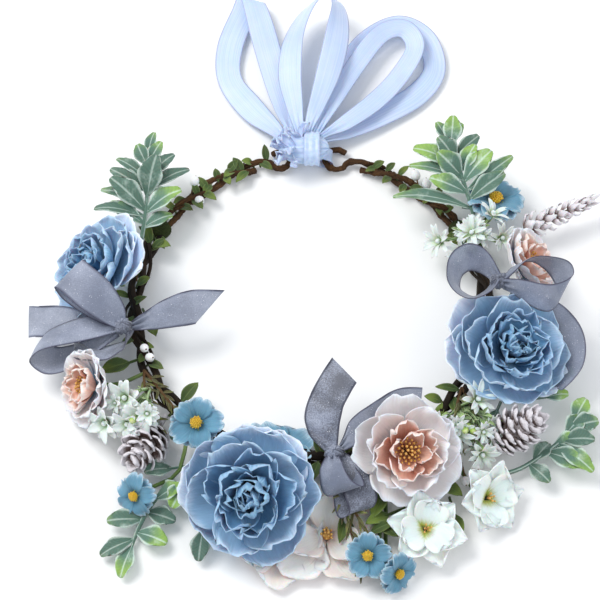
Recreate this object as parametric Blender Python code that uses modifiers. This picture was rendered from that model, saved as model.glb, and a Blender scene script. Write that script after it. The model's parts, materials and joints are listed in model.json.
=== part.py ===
"""Flower crown: a vine ring open at the back, cloth flowers glued round its front, and a satin ribbon bow.

Metres, +Z up. The crown lies on a table at z = 0, with the origin at the middle of the ring on the table.
The open back of the ring points along +Y and the front along -Y.
"""

import math

import bmesh
import bpy
from mathutils import Matrix, Vector

MM = 0.001

# Overall sizes
RING_RADIUS = 93.0          # vine centreline, for a head of about 56 cm round
BACK_HEIGHT = 3.7           # height of the vine centreline at the back
FRONT_HEIGHT = 12.0         # the flowers hold the front of the ring up off the table
ARM_ANGLE = 30.0            # where each bare arm starts, from the +X or -X axis towards the back
GAP = 0.4                   # clearance between pieces that touch

# Vine
ARM_STRAND = 1.6            # radius of one strand on the arms
FRONT_STRAND = 2.0          # radius of one strand round the front
TAPE_RADIUS = 5.6           # floral tape wrapped round the start of each arm
LEFT_EYE = (-16.5, -0.5, 5.4)   # x, then y past the ring's centreline, then radius
RIGHT_EYE = (15.0, 0.0, 6.4)
TWIST_ANGLE = 34.5          # degrees of the ring in one full turn of the strands round each other

# Satin ribbon
SATIN_WIDTH = 15.0
SATIN_THICK = 0.6
KNOT_CENTRE = (-3.0, 94.5, 12.4)
KNOT_HALF = (13.5, 8.5, 6.0)

# Organza ribbon
ORGANZA_WIDTH = 19.0
ORGANZA_THICK = 0.6

# Cloth flowers
PEONY_RADIUS = 33.0
CAMELLIA_RADIUS = 25.0
DAISY_RADIUS = 13.0
PETAL_THICK = 0.8
CONE_RADIUS = 12.5
CONE_LENGTH = 26.0


# ---------------------------------------------------------------- scene helpers

for old in list(bpy.data.objects):
    bpy.data.objects.remove(old)

CROWN = bpy.data.collections.new("flower_crown")
bpy.context.scene.collection.children.link(CROWN)
CUTTERS = bpy.data.collections.new("helpers")
CUTTERS.hide_render = True
bpy.context.scene.collection.children.link(CUTTERS)


def material(name, colour, roughness, metallic=0.0):
    made = bpy.data.materials.new(name)
    made.use_nodes = True
    shader = made.node_tree.nodes["Principled BSDF"]
    shader.inputs["Base Color"].default_value = (*colour, 1.0)
    shader.inputs["Roughness"].default_value = roughness
    shader.inputs["Metallic"].default_value = metallic
    made.diffuse_color = (*colour, 1.0)
    return made


SATIN = material("satin", (0.60, 0.78, 0.95), 0.35)
ORGANZA = material("organza", (0.36, 0.36, 0.45), 0.45)
VINE = material("vine", (0.12, 0.06, 0.03), 0.85)
TAPE = material("floral_tape", (0.10, 0.14, 0.05), 0.8)
BLUE_PALE = material("blue_outer_cloth", (0.42, 0.56, 0.78), 0.8)
BLUE_MID = material("blue_middle_cloth", (0.26, 0.42, 0.64), 0.8)
BLUE_DEEP = material("blue_heart_cloth", (0.12, 0.25, 0.46), 0.8)
CREAM = material("cream_cloth", (0.80, 0.70, 0.68), 0.75)
PINK = material("pink_cloth", (0.80, 0.52, 0.42), 0.75)
STAMEN = material("stamen", (0.72, 0.42, 0.12), 0.6)
BLUSH = material("blush_cloth", (0.78, 0.62, 0.57), 0.75)
WHITE = material("white_cloth", (0.80, 0.80, 0.80), 0.6)
TEAL = material("teal_cloth", (0.16, 0.38, 0.52), 0.75)
YELLOW = material("yellow_centre", (0.75, 0.42, 0.02), 0.7)
CONE = material("frosted_cone", (0.42, 0.38, 0.40), 0.8)
LEAF = material("silver_leaf", (0.25, 0.38, 0.32), 0.6)
SPRAY = material("white_spray", (0.62, 0.68, 0.58), 0.6)
TWIG = material("twig", (0.28, 0.18, 0.12), 0.85)


def mm(point):
    return Vector(point) * MM


def facing(direction, spin=0.0):
    """Rotation that turns local +Z to a direction, after a spin in degrees about it."""
    turn = Vector(direction).normalized().to_track_quat("Z", "Y").to_matrix().to_4x4()
    return turn @ Matrix.Rotation(math.radians(spin), 4, "Z")


def place(name, data, look, centre=(0, 0, 0), turn=None):
    """One named piece of the crown, put at its own origin."""
    made = bpy.data.objects.new(name, data)
    data.materials.clear()
    data.materials.append(look)
    made.matrix_world = Matrix.Translation(mm(centre)) @ (turn or Matrix.Identity(4))
    CROWN.objects.link(made)
    return made


def mesh_from(shape, name):
    bmesh.ops.recalc_face_normals(shape, faces=shape.faces)
    data = bpy.data.meshes.new(name)
    shape.to_mesh(data)
    shape.free()
    return data


def thicken(piece, thickness):
    skin = piece.modifiers.new("thickness", "SOLIDIFY")
    skin.thickness = thickness * MM
    skin.offset = 0.0
    skin.use_even_offset = False
    return piece


def loft(rings, closed=True, capped=True):
    """Faces between a run of rings of points in millimetres, each ring with the same count."""
    shape = bmesh.new()
    rows = [[shape.verts.new(mm(point)) for point in ring] for ring in rings]
    count = len(rings[0])
    for low, high in zip(rows, rows[1:]):
        for i in range(count if closed else count - 1):
            j = (i + 1) % count
            shape.faces.new((low[i], low[j], high[j], high[i]))
    if capped:
        shape.faces.new(list(reversed(rows[0])))
        shape.faces.new(rows[-1])
    return shape


def merged(name, shapes, look, centre=(0, 0, 0), turn=None):
    """One solid from several closed shapes that run into each other."""
    base = mesh_from(shapes[0], name)
    rest = bmesh.new()
    for shape in shapes[1:]:
        part = mesh_from(shape, name + "_part")
        rest.from_mesh(part)
        bpy.data.meshes.remove(part)
    data = bpy.data.meshes.new(name + "_rest")
    rest.to_mesh(data)
    rest.free()
    helper = bpy.data.objects.new(name + "_rest", data)
    helper.display_type = "WIRE"
    CUTTERS.objects.link(helper)
    piece = place(name, base, look, centre, turn)
    helper.matrix_world = piece.matrix_world.copy()
    join = piece.modifiers.new("join", "BOOLEAN")
    join.operation = "UNION"
    join.solver = "EXACT"
    join.use_self = True
    join.object = helper
    return piece


# ---------------------------------------------------------------- shapes

def tube_shape(points, radii, sides=6):
    """A closed tube along points in millimetres, with one radius or one for each point."""
    path = [Vector(point) for point in points]
    if isinstance(radii, (int, float)):
        radii = [radii] * len(path)
    rings = []
    normal = Vector((0, 0, 1))
    for i, here in enumerate(path):
        along = (path[min(i + 1, len(path) - 1)] - path[max(i - 1, 0)]).normalized()
        if abs(along.dot(normal)) > 0.95:
            normal = Vector((1, 0, 0))
        side = along.cross(normal).normalized()
        normal = side.cross(along).normalized()
        ring = []
        for k in range(sides):
            turn = 2 * math.pi * k / sides
            ring.append(here + (side * math.cos(turn) + normal * math.sin(turn)) * radii[i])
        rings.append(ring)
    return loft(rings)


def tube(name, points, radius, look):
    """A bent wire or vine strand as a bevelled curve, with its origin at its first point."""
    data = bpy.data.curves.new(name, "CURVE")
    data.dimensions = "3D"
    data.bevel_depth = radius * MM
    data.bevel_resolution = 1
    data.use_fill_caps = True
    line = data.splines.new("POLY")
    line.points.add(len(points) - 1)
    start = Vector(points[0])
    for spot, point in zip(line.points, points):
        spot.co = (*((Vector(point) - start) * MM), 1.0)
    return place(name, data, look, points[0])


def on_path(path, share):
    """The point at a share of the way along a run of points, counted by its pieces."""
    spot = min(share, 0.9999) * (len(path) - 1)
    low = int(spot)
    return Vector(path[low]).lerp(Vector(path[low + 1]), spot - low)


def leaf_shape(base, direction, length, width, up=(0, 0, 1), arch=0.15, thick=0.5):
    """A closed leaf: diamond sections that start and end narrow, arched along its length."""
    along = Vector(direction).normalized()
    side = along.cross(Vector(up)).normalized()
    normal = side.cross(along).normalized()
    rings = []
    for share, wide in ((0.0, 0.16), (0.35, 0.9), (0.7, 0.85), (1.0, 0.12)):
        middle = Vector(base) + along * length * share + normal * length * arch * math.sin(math.pi * share)
        half = side * width * wide / 2
        rib = normal * thick * max(wide, 0.4)
        rings.append([middle - half, middle + rib, middle + half, middle - rib])
    return loft(rings)


def ball_shape(centre, half, divisions=1):
    shape = bmesh.new()
    bmesh.ops.create_icosphere(shape, subdivisions=divisions, radius=1.0)
    for vert in shape.verts:
        vert.co = mm([c + v * h for c, v, h in zip(centre, vert.co, half)])
    return shape


def whorl_data(name, profile, radius, petals, notch, ripple=0.0, steps=3):
    """A layer of joined petals: a lobed bowl about +Z, from a profile of (share of radius, height in mm)."""
    count = petals * steps
    rings = []
    for k, (share, height) in enumerate(profile):
        depth = (k / (len(profile) - 1)) ** 1.5
        ring = []
        for i in range(count):
            turn = 2 * math.pi * i / count
            lobe = abs(math.cos(petals * turn / 2)) ** 0.7
            reach = radius * share * (1 - notch * depth * (1 - lobe))
            rise = height + ripple * depth * math.cos(petals * turn * 1.0 + 0.6)
            ring.append((reach * math.cos(turn), reach * math.sin(turn), rise))
        rings.append(ring)
    shape = loft(rings, capped=False)
    shape.verts.ensure_lookup_table()
    shape.faces.new([shape.verts[i] for i in reversed(range(count))])
    data = bpy.data.meshes.new(name)
    shape.to_mesh(data)
    shape.free()
    return data


def whorl(name, look, centre, direction, profile, radius, petals, notch, spin=0.0, ripple=0.0, steps=3):
    data = whorl_data(name, profile, radius, petals, notch, ripple, steps)
    return thicken(place(name, data, look, centre, facing(direction, spin)), PETAL_THICK)


def ribbon(name, look, stations, thickness, origin):
    """A strip through stations of (x, y, z, azimuth of its width, tilt of its width, width)."""
    start = Vector(origin)
    rings = []
    for x, y, z, azimuth, tilt, width in stations:
        turn = math.radians(azimuth)
        lean = math.radians(tilt)
        across = Vector((math.cos(turn) * math.cos(lean), math.sin(turn) * math.cos(lean), math.sin(lean)))
        middle = Vector((x, y, z)) - start
        rings.append([middle - across * width / 2, middle + across * width / 2])
    shape = loft(rings, closed=False, capped=False)
    data = bpy.data.meshes.new(name)
    shape.to_mesh(data)
    shape.free()
    return thicken(place(name, data, look, origin), thickness)


def stemmed(piece, points, radius=1.1):
    """Joins a wrapped wire stem to a piece, through points in millimetres that end beside the vine."""
    helper = bpy.data.objects.new(piece.name + "_stem", mesh_from(tube_shape(points, radius, 5), piece.name + "_stem"))
    helper.display_type = "WIRE"
    CUTTERS.objects.link(helper)
    join = piece.modifiers.new("stem", "BOOLEAN")
    join.operation = "UNION"
    join.solver = "EXACT"
    join.object = helper
    return piece


# ---------------------------------------------------------------- vine ring

def ring_height(y):
    share = (RING_RADIUS - y) / (2 * RING_RADIUS)
    return BACK_HEIGHT + (FRONT_HEIGHT - BACK_HEIGHT) * share


def ring_point(angle, out=0.0, up=0.0):
    turn = math.radians(angle)
    reach = RING_RADIUS + out
    y = reach * math.sin(turn)
    return Vector((reach * math.cos(turn), y, ring_height(RING_RADIUS * math.sin(turn)) + up))


def strand_points(start, end, strand, phase, step=4.0):
    """A strand that winds round the ring line, half a turn away from its partner when phase differs by 180."""
    offset = strand * 1.1 + GAP
    swept = abs(end - start)
    count = max(2, round(swept / step))
    points = []
    for i in range(count + 1):
        angle = start + (end - start) * i / count
        turn = 2 * math.pi * (swept * i / count) / TWIST_ANGLE + math.radians(phase)
        points.append(ring_point(angle, offset * math.cos(turn), offset * math.sin(turn)))
    return points


TAPE_CLEAR = math.degrees((TAPE_RADIUS + GAP + ARM_STRAND) / RING_RADIUS)
FRONT_CLEAR = math.degrees((TAPE_RADIUS + GAP + 1.0) / RING_RADIUS)
front_from = 180 - ARM_ANGLE + FRONT_CLEAR
front_to = 360 + ARM_ANGLE - FRONT_CLEAR
for label, phase in (("a", 0), ("b", 180)):
    tube("front_vine_" + label, strand_points(front_from, front_to, FRONT_STRAND, phase, 6.47), FRONT_STRAND, VINE)


def eye_points(eye, start_angle, sweep):
    """The end of a strand, bent round into an open eye."""
    x, y, radius = eye
    steps = 8
    points = []
    for i in range(steps + 1):
        turn = math.radians(start_angle + sweep * i / steps)
        points.append(Vector((x + radius * math.cos(turn), RING_RADIUS + y + radius * math.sin(turn), BACK_HEIGHT)))
    return points


left_from = 180 - ARM_ANGLE - TAPE_CLEAR
left_a = strand_points(left_from, 107.5, ARM_STRAND, 0)
left_b = strand_points(left_from, 109.0, ARM_STRAND, 180)
tube("left_vine_a", left_a + eye_points(LEFT_EYE, 200, 300), ARM_STRAND, VINE)
tube("left_vine_b", left_b, ARM_STRAND, VINE)
right_from = ARM_ANGLE + TAPE_CLEAR
right_a = strand_points(right_from, 73.5, ARM_STRAND, 0)
right_b = strand_points(right_from, 72.0, ARM_STRAND, 180)
tube("right_vine_a", right_a + eye_points(RIGHT_EYE, -20, -300), ARM_STRAND, VINE)
tube("right_vine_b", right_b, ARM_STRAND, VINE)

for label, angle in (("left", 180 - ARM_ANGLE), ("right", ARM_ANGLE)):
    spot = ring_point(angle)
    data = mesh_from(ball_shape((0, 0, 0), (TAPE_RADIUS, TAPE_RADIUS, TAPE_RADIUS * 0.66), 2), label + "_tape")
    place(label + "_tape", data, TAPE, spot)


# ---------------------------------------------------------------- satin ribbon

data = mesh_from(ball_shape((0, 0, 0), KNOT_HALF, 2), "satin_knot")
place("satin_knot", data, SATIN, KNOT_CENTRE)

W = SATIN_WIDTH
ribbon("satin_left_loop", SATIN, (
    (-14.0, 104.2, 8.0, 45, 5, 4.5), (-21, 113, 6.0, 48, 5, 9), (-33, 127, 3.8, 42, 5, W),
    (-45, 147, 3.0, 15, 8, W * 0.8), (-45, 170, 3.2, -8, 5, W), (-37, 194, 4.0, -15, 0, W),
    (-34, 201, 6.6, -15, 0, W), (-31, 194, 9.2, -12, 0, W), (-24, 165, 9.0, 6, 0, W),
    (-15.5, 130, 8.6, 12, 0, W * 0.8), (-9.3, 105.2, 8.4, 12, 0, 4.0)),
    SATIN_THICK, (-12.0, 104.2, 8.2))
ribbon("satin_centre_loop", SATIN, (
    (-5.6, 105.4, 12.6, 0, 0, 3.8), (-8.5, 122, 15.0, -3, 10, 9), (-11, 142, 16.5, -3, 25, W * 0.9),
    (-9, 165, 17.5, -15, 40, W), (-1, 184, 19.5, -40, 50, W), (10, 191, 22.5, -80, 60, W),
    (20, 183, 22.5, -130, 55, W), (21, 162, 20.5, -172, 35, W), (13, 136, 18.0, -160, 12, W * 0.8),
    (4, 115, 15.0, -160, 0, 7), (-0.6, 105.6, 12.8, -165, 0, 3.8)),
    SATIN_THICK, (-3.0, 105.4, 12.6))
ribbon("satin_right_outer_loop", SATIN, (
    (9.5, 103.0, 8.2, -50, 0, 4.2), (20, 110, 6.2, -58, 0, 9), (38, 121, 4.0, -56, 0, W * 0.9),
    (60, 136, 3.2, -46, 0, W * 0.9), (71, 154, 3.0, -10, 0, W * 0.8), (66, 175, 3.6, 30, 10, W * 0.8),
    (50, 184, 4.2, 80, 10, W * 0.8), (31, 171, 4.4, 125, 5, W * 0.8), (17, 146, 4.6, 145, 0, W * 0.75),
    (8, 122, 6.0, 160, 0, 8), (3.6, 105.2, 8.2, 170, 0, 3.8)),
    SATIN_THICK, (6.5, 104.0, 8.2))
ribbon("satin_right_inner_loop", SATIN, (
    (9.4, 104.4, 12.2, -50, 0, 3.4), (20, 112.5, 11.0, -55, 0, 8), (37, 128, 9.6, -46, 0, W * 0.75),
    (51, 146, 9.0, -38, 5, W * 0.75), (60, 165, 9.4, 0, 15, W * 0.7), (54, 177, 10.4, 60, 20, W * 0.7),
    (41, 173, 11.0, 120, 15, W * 0.7), (27, 153, 11.0, 140, 5, W * 0.7), (13.5, 127, 11.2, 150, 0, 8),
    (4.2, 106.0, 11.4, 160, 0, 3.2)),
    SATIN_THICK, (7.0, 105.0, 11.8))
ribbon("satin_eye_band", SATIN, (
    (15.0, 93.5, 7.5, 90, 0, 5.0), (14.8, 93.5, 4.0, 90, 0, 5.0), (13.6, 93.5, 1.4, 90, 0, 5.0),
    (8.0, 93.5, 1.1, 90, 0, 5.5), (-10.0, 93.0, 1.1, 90, 0, 5.5), (-15.2, 92.7, 1.5, 90, 0, 5.0),
    (-16.4, 92.7, 4.4, 90, 0, 4.6)),
    SATIN_THICK, (-1.0, 93.3, 1.1))


# ---------------------------------------------------------------- cloth flowers

def at(centre, direction, along):
    return tuple(Vector(centre) + Vector(direction).normalized() * along)


def wired(piece, centre, direction, stem, way):
    """A stem that leaves the back of a flower along its axis, then bends to the vine."""
    return stemmed(piece, (at(centre, direction, 1.6 - stem), at(centre, direction, -1.0 - stem)) + way)


def peony(label, centre, direction, radius, stem, way):
    """Three petal layers, one inside the next, the outermost carrying the stem behind it."""
    k = radius / 33.0
    outer = ((0.07, -stem), (0.08, -1.6), (0.50, 1.0 * k), (0.84, 6.0 * k), (1.0, 12.0 * k))
    middle = ((0.10, 0.0), (0.60, 3.0 * k), (0.86, 11.0 * k), (0.92, 18.0 * k))
    heart = ((0.14, 0.0), (0.92, 5.0 * k), (0.95, 14.0 * k), (0.56, 21.0 * k), (0.22, 19.5 * k))
    base = whorl(label + "_outer_petals", BLUE_PALE, centre, direction, outer, radius, 5, 0.16, 10, 0.8)
    wired(base, centre, direction, stem, way)
    whorl(label + "_middle_petals", BLUE_MID, at(centre, direction, 2.6), direction, middle,
          radius * 0.76, 5, 0.12, 46, 0.6)
    whorl(label + "_heart", BLUE_DEEP, at(centre, direction, 6.0), direction, heart, radius * 0.47, 5, 0.10, 10)


def camellia(label, centre, direction, radius, stem, way):
    """Open outer petals, cupped inner petals and a tuft of stamens."""
    k = radius / 25.0
    outer = ((0.08, -stem), (0.09, -1.6), (0.55, 1.0 * k), (0.86, 4.8 * k), (1.0, 10.5 * k))
    inner = ((0.12, 0.0), (0.66, 2.4 * k), (0.98, 9.5 * k), (0.96, 16.0 * k))
    tuft = ((0.45, 0.0), (1.0, 8.5 * k))
    base = whorl(label + "_outer_petals", CREAM, centre, direction, outer, radius, 5, 0.18, 0, 0.6)
    wired(base, centre, direction, stem, way)
    whorl(label + "_inner_petals", PINK, at(centre, direction, 2.4), direction, inner, radius * 0.66, 5, 0.10, 36)
    whorl(label + "_stamens", STAMEN, at(centre, direction, 5.2), direction, tuft, radius * 0.24, 5, 0.30)


peony("front_peony", (-30, -114, 18), (-0.05, -0.46, 0.88), PEONY_RADIUS, 6, ((-28, -104, 8.5), (-26, -97.5, 9)))
peony("right_peony", (101, -36, 19), (0.26, -0.20, 0.92), PEONY_RADIUS * 0.9, 6, ((97.5, -34, 9.5), (94.5, -33, 9.5)))
peony("left_peony", (-108, 12, 18), (-0.62, 0.02, 0.78), PEONY_RADIUS * 0.82, 6, ((-101, 11, 9), (-98.6, 11, 8.4)))
camellia("front_camellia", (47, -92, 21), (0.16, -0.42, 0.88), CAMELLIA_RADIUS, 5, ((45.8, -89, 16.4),))
camellia("left_camellia", (-110, -54, 19), (-0.78, -0.30, 0.55), CAMELLIA_RADIUS * 0.74, 5,
         ((-98, -49, 11), (-90, -45, 10.5)))
camellia("right_camellia", (111, 15, 20), (0.72, 0.10, 0.68), CAMELLIA_RADIUS * 0.78, 5,
         ((102, 14, 9.5), (98.8, 13.6, 8.4)))

magnolia = ((0.10, -3.0), (0.12, -0.6), (0.50, 0.0), (0.82, 1.8), (1.0, 5.5))
piece = whorl("blush_magnolia", BLUSH, (8, -131, 4.3), (0.05, -0.12, 1.0), magnolia, 27.0, 4, 0.42, 20)
stemmed(piece, ((8, -131, 2.3), (8, -127, 1.6), (7, -108, 2.5), (6, -99, 6.5)))
lily = ((0.10, -4.0), (0.16, -0.4), (0.62, 2.4), (1.0, 5.6))
piece = whorl("inner_lily", WHITE, (57, -129, 8), (0.10, -0.30, 0.95), lily, 18.0, 3, 0.46, 30, 0, 4)
stemmed(piece, ((57, -128, 5.6), (56, -124, 4.0), (52, -106, 4.5), (44.5, -91.5, 7)))
piece = whorl("outer_lily", WHITE, (88, -112, 8), (0.46, -0.36, 0.80), lily, 17.0, 3, 0.46, 80, 0, 4)
stemmed(piece, ((87, -111.2, 6.2), (84.6, -109, 4.0), (76, -94, 4.0), (66, -78, 6.5), (63, -75, 7.5)))


def daisy(label, centre, direction, radius, way, spin=0.0, split=True):
    petals = ((0.15, -3.0), (0.18, -0.4), (0.65, 0.9), (1.0, 2.2))
    base = whorl(label + ("_petals" if split else ""), TEAL, centre, direction, petals, radius, 5, 0.30, spin)
    wired(base, centre, direction, 3.0, way)
    if split:
        data = mesh_from(ball_shape((0, 0, 0), (3.2, 3.2, 1.9), 1), label + "_centre")
        place(label + "_centre", data, YELLOW, at(centre, direction, 3.2), facing(direction))
    return base


daisy("left_daisy", (-57, -81, 31), (-0.12, -0.40, 0.90), DAISY_RADIUS, ((-59, -75, 22), (-61, -72, 17.5)), 15)
daisy("low_left_daisy", (-88, -113, 13.5), (-0.45, -0.60, 0.62), DAISY_RADIUS * 0.8,
      ((-78, -106, 10), (-67, -98, 8), (-63, -79, 8)), 40)
daisy("front_daisy", (28, -146, 16), (-0.05, -0.50, 0.86), DAISY_RADIUS * 0.85,
      ((32, -139, 9), (35, -128, 7), (34, -108, 7.5), (30, -95.5, 8)), 20)
daisy("low_right_daisy", (43, -153, 9), (0.55, -0.60, 0.45), DAISY_RADIUS * 0.8,
      ((37.5, -141, 3.5), (38, -112, 3.5), (36, -95, 6.0)), 0, False)
daisy("top_right_daisy", (100, 61, 13), (0.10, 0.52, 0.80), DAISY_RADIUS * 0.95, ((96, 53, 7), (89, 47.5, 6)), 30, False)


# ---------------------------------------------------------------- pine cones

def pine_cone(name, centre, direction):
    """Overlapping rows of scales, each row flared over the one above it."""
    rings = []
    rows = 6
    count = 10
    for row in range(rows):
        share = row / rows
        swell = math.sin(math.pi * (0.22 + 0.72 * share)) ** 0.8
        for part, (reach, rise) in enumerate(((0.70, 0.0), (1.0, 0.45))):
            ring = []
            for i in range(count):
                turn = 2 * math.pi * (i + 0.5 * (row % 2)) / count
                flare = 1.0 + (0.10 if part and i % 2 else 0.0)
                r = CONE_RADIUS * swell * reach * flare
                z = CONE_LENGTH * (share + rise / rows) - CONE_LENGTH * 0.5
                ring.append((r * math.cos(turn), r * math.sin(turn), z))
            rings.append(ring)
    data = mesh_from(loft(rings), name)
    return place(name, data, CONE, centre, facing(direction))


stemmed(pine_cone("left_pine_cone", (-84, -86, 14.5), (-0.35, -0.75, 0.35)),
        ((-81, -80, 12), (-77, -72, 9), (-74, -66.5, 9.5)))
stemmed(pine_cone("right_pine_cone", (103, -82, 16), (0.10, -0.42, 0.80)),
        ((102, -79, 10), (99, -73, 4.5), (88, -62, 5.5), (82, -55.5, 7.5)))


# ---------------------------------------------------------------- organza ribbon

def organza_shape(stations):
    """A closed thin strip, ready to be merged."""
    half = ORGANZA_THICK / 2
    rings = []
    points = [Vector(s[:3]) for s in stations]
    for i, (x, y, z, azimuth, tilt, width) in enumerate(stations):
        turn = math.radians(azimuth)
        lean = math.radians(tilt)
        across = Vector((math.cos(turn) * math.cos(lean), math.sin(turn) * math.cos(lean), math.sin(lean)))
        along = (points[min(i + 1, len(points) - 1)] - points[max(i - 1, 0)]).normalized()
        normal = across.cross(along).normalized() * half
        side = across * width / 2
        middle = points[i]
        rings.append([middle - side - normal, middle + side - normal, middle + side + normal, middle - side + normal])
    return loft(rings)


Q = ORGANZA_WIDTH
merged("left_organza_bow", (
    ball_shape((0, 0, 0), (5, 4.5, 4), 1),
    organza_shape(((-1.5, 1.5, 1, 96, 6, 3), (-9, 3, 8, 96, 6, 10), (-22, 5, 12, 96, 6, Q * 0.8),
                   (-31, 4, 8, 96, 6, Q * 0.8), (-24, 2, 3.5, 96, 6, Q * 0.7), (-10, 0, 0.5, 96, 6, 8),
                   (-1.5, 0, -1.4, 96, 6, 3))),
    organza_shape(((0, -1.5, -1, 90, 5, 3), (-14, -5, -4, 70, 5, 10), (-30, -8, -9, 75, 5, Q * 0.8),
                   (-42, -3, -12, 70, 0, Q * 0.8)))),
    ORGANZA, (-97, -24, 27))
merged("left_organza_tail", (
    organza_shape(((0, 0, 0, 90, 20, 6), (10, 0, 2, 85, 25, 12), (22, 3, 2, 80, 25, Q * 0.85),
                   (34, 8, 0, 70, 20, Q * 0.9))),
    organza_shape(((1, 0, 0, 90, 20, 5), (-3, 0, -1, 90, 20, 3)))),
    ORGANZA, (-86, -20, 25))
merged("front_organza_bow", (
    ball_shape((0, 0, 0), (5, 4, 4), 1),
    organza_shape(((-1.5, -1, 1.5, 0, 20, 3), (-2, -10, 4, 10, 30, 11), (0, -20, 3, 10, 40, Q * 0.8),
                   (8, -19, -1, 0, 40, Q * 0.7), (5, -9, -3, 0, 30, 8), (1.5, -1, -1.5, 0, 20, 3))),
    organza_shape(((1, 1.5, 0, 60, 20, 3), (9, 9, 4, 100, 30, 10), (20, 14, 5, 100, 40, Q * 0.7),
                   (27, 10, 2, 90, 40, Q * 0.6)))),
    ORGANZA, (12, -94, 23))
merged("front_organza_tail", (
    organza_shape(((0, 0, 0, 0, 0, 7), (0, 10, 5, 0, 10, 12), (2, 24, 13, 0, 15, Q * 0.85),
                   (6, 42, 21, 5, 15, Q * 0.9))),
    organza_shape(((0, 1, 0, 0, 0, 5), (0, -2, -1, 0, 0, 3)))),
    ORGANZA, (8, -87, 24))
merged("right_organza_bow", (
    ball_shape((0, 0, 0), (5, 4.5, 4), 1),
    organza_shape(((-1.5, 1, 1, -50, 62, 3), (-9, 4, 4, -50, 62, 8), (-13, 12, 6, -50, 62, Q * 0.55),
                   (-8, 18, 6, -50, 62, Q * 0.55), (-1, 12, 3, -50, 62, 8), (1.5, 2, -0.5, -50, 62, 3))),
    organza_shape(((2, 0.5, 1, -50, 62, 3), (9, 6, 6, -50, 62, 8), (18, 8, 9, -50, 62, Q * 0.5),
                   (27, 2, 9, -50, 62, Q * 0.5), (26, -8, 7, -50, 62, Q * 0.5), (16, -11, 4, -50, 62, 8),
                   (2.5, -2, 0, -50, 62, 3)))),
    ORGANZA, (98, -2, 35.5))


# ---------------------------------------------------------------- leaf sprigs and twigs

def sprig(name, base, stem, leaves, look=LEAF, stem_radius=0.9):
    """A wired stem with its leaves, its origin where the stem leaves the vine."""
    shapes = [tube_shape(stem, [stem_radius] * (len(stem) - 1) + [stem_radius * 0.6], 5)]
    for spot, direction, length, width in leaves:
        shapes.append(leaf_shape(spot, direction, length, width))
    return merged(name, shapes, look, base)


sprig("top_left_sprig", (-90, 36, 14),
      ((0, 0, 0), (2, 14, 5), (3, 30, 9), (2, 46, 11)),
      (((2, 8, 3), (-0.9, 0.5, 0.2), 26, 11), ((2, 10, 4), (0.8, 0.5, 0.1), 20, 10),
       ((3, 18, 6), (-0.85, 0.6, 0.2), 28, 11), ((3, 20, 6), (0.8, 0.6, 0.1), 22, 10),
       ((3, 27, 8), (-0.7, 0.8, 0.2), 24, 10), ((3, 29, 8), (0.75, 0.7, 0.0), 20, 9),
       ((3, 37, 10), (-0.5, 0.9, 0.1), 18, 8), ((2, 38, 10), (0.5, 0.9, 0.0), 16, 8),
       ((2, 44, 11), (0.0, 1.0, 0.1), 17, 8)))
sprig("top_right_sprig", (88, 50, 16),
      ((0, 0, 0), (-4, 14, 4), (-8, 28, 6), (-13, 42, 8)),
      (((-2, 6, 2), (-0.9, 0.3, 0.1), 24, 9), ((-3, 10, 3), (0.7, 0.8, 0.2), 26, 10),
       ((-5, 18, 5), (-0.9, 0.3, 0.1), 24, 10), ((-6, 21, 5), (0.9, 0.6, 0.2), 26, 10),
       ((-8, 27, 6), (-0.9, 0.4, 0.1), 22, 9), ((-9, 30, 6), (0.8, 0.7, 0.2), 22, 9),
       ((-11, 36, 7), (-0.8, 0.7, 0.1), 16, 8), ((-12, 39, 8), (0.5, 0.9, 0.1), 16, 8),
       ((-13, 41, 8), (-0.2, 1.0, 0.1), 15, 8)))
sprig("lower_right_sprig", (92, -99, 4.6),
      ((0, 0, 0), (14, 2, 1), (27, 4, 3), (39, 8, 4), (50, 12, 4)),
      (((16, 2, 1.4), (0.5, -0.9, 0.1), 15, 9), ((26, 4, 3), (0.3, 0.95, 0.2), 15, 9),
       ((30, 5, 3.2), (0.5, -0.9, 0.1), 18, 10), ((37, 7, 4), (0.3, 1.0, 0.2), 16, 9),
       ((41, 9, 4), (0.6, -0.8, 0.1), 17, 9), ((47, 11, 4), (0.4, 0.9, 0.1), 14, 8),
       ((48.5, 11.6, 4), (1.0, 0.2, 0.1), 16, 8)))
sprig("lower_left_sprig", (-72, -104, 5),
      ((0, 0, 0), (-8, -10, 0), (-14, -22, -1), (-17, -32, -1)),
      (((-4, -5, 0), (-1.0, -0.1, 0.0), 17, 9), ((-9, -12, 0), (0.9, -0.5, 0.0), 16, 9),
       ((-12, -18, -0.6), (-1.0, -0.2, 0.0), 20, 9), ((-14, -24, -1), (0.8, -0.7, 0.0), 17, 9),
       ((-16, -29, -1), (-0.8, -0.6, 0.0), 16, 8), ((-17, -31, -1), (0.1, -1.0, 0.0), 15, 8)))

heather_stem = ((0, 0, 0), (14, 3, 3), (28, 9, 5), (42, 15, 6), (53, 20, 6))
heather = [tube_shape(heather_stem, (0.9, 0.9, 0.8, 0.7, 0.4), 5)]
for step in range(7):
    spot = on_path(heather_stem, 0.46 + 0.085 * step)
    side = 1.3 if step % 2 else -1.3
    heather.append(ball_shape(spot + Vector((0, side, 0.4)), (2.8, 2.4, 2.3), 1))
merged("heather_twig", heather, TWIG, (99, 38.5, 10))

rosemary_stem = ((0, 0, 0), (2, -14, 1), (6, -32, 0), (11, -50, -3))
rosemary = [tube_shape(rosemary_stem, (0.9, 0.8, 0.7, 0.5), 5)]
for step in range(5):
    spot = on_path(rosemary_stem, 0.25 + 0.16 * step)
    for side in (-1, 1):
        rosemary.append(leaf_shape(spot, (0.8 * side, -0.6, 0.1), 8, 1.8, arch=0.02, thick=0.4))
merged("rosemary_twig", rosemary, TWIG, (14, -100, 13))


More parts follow.
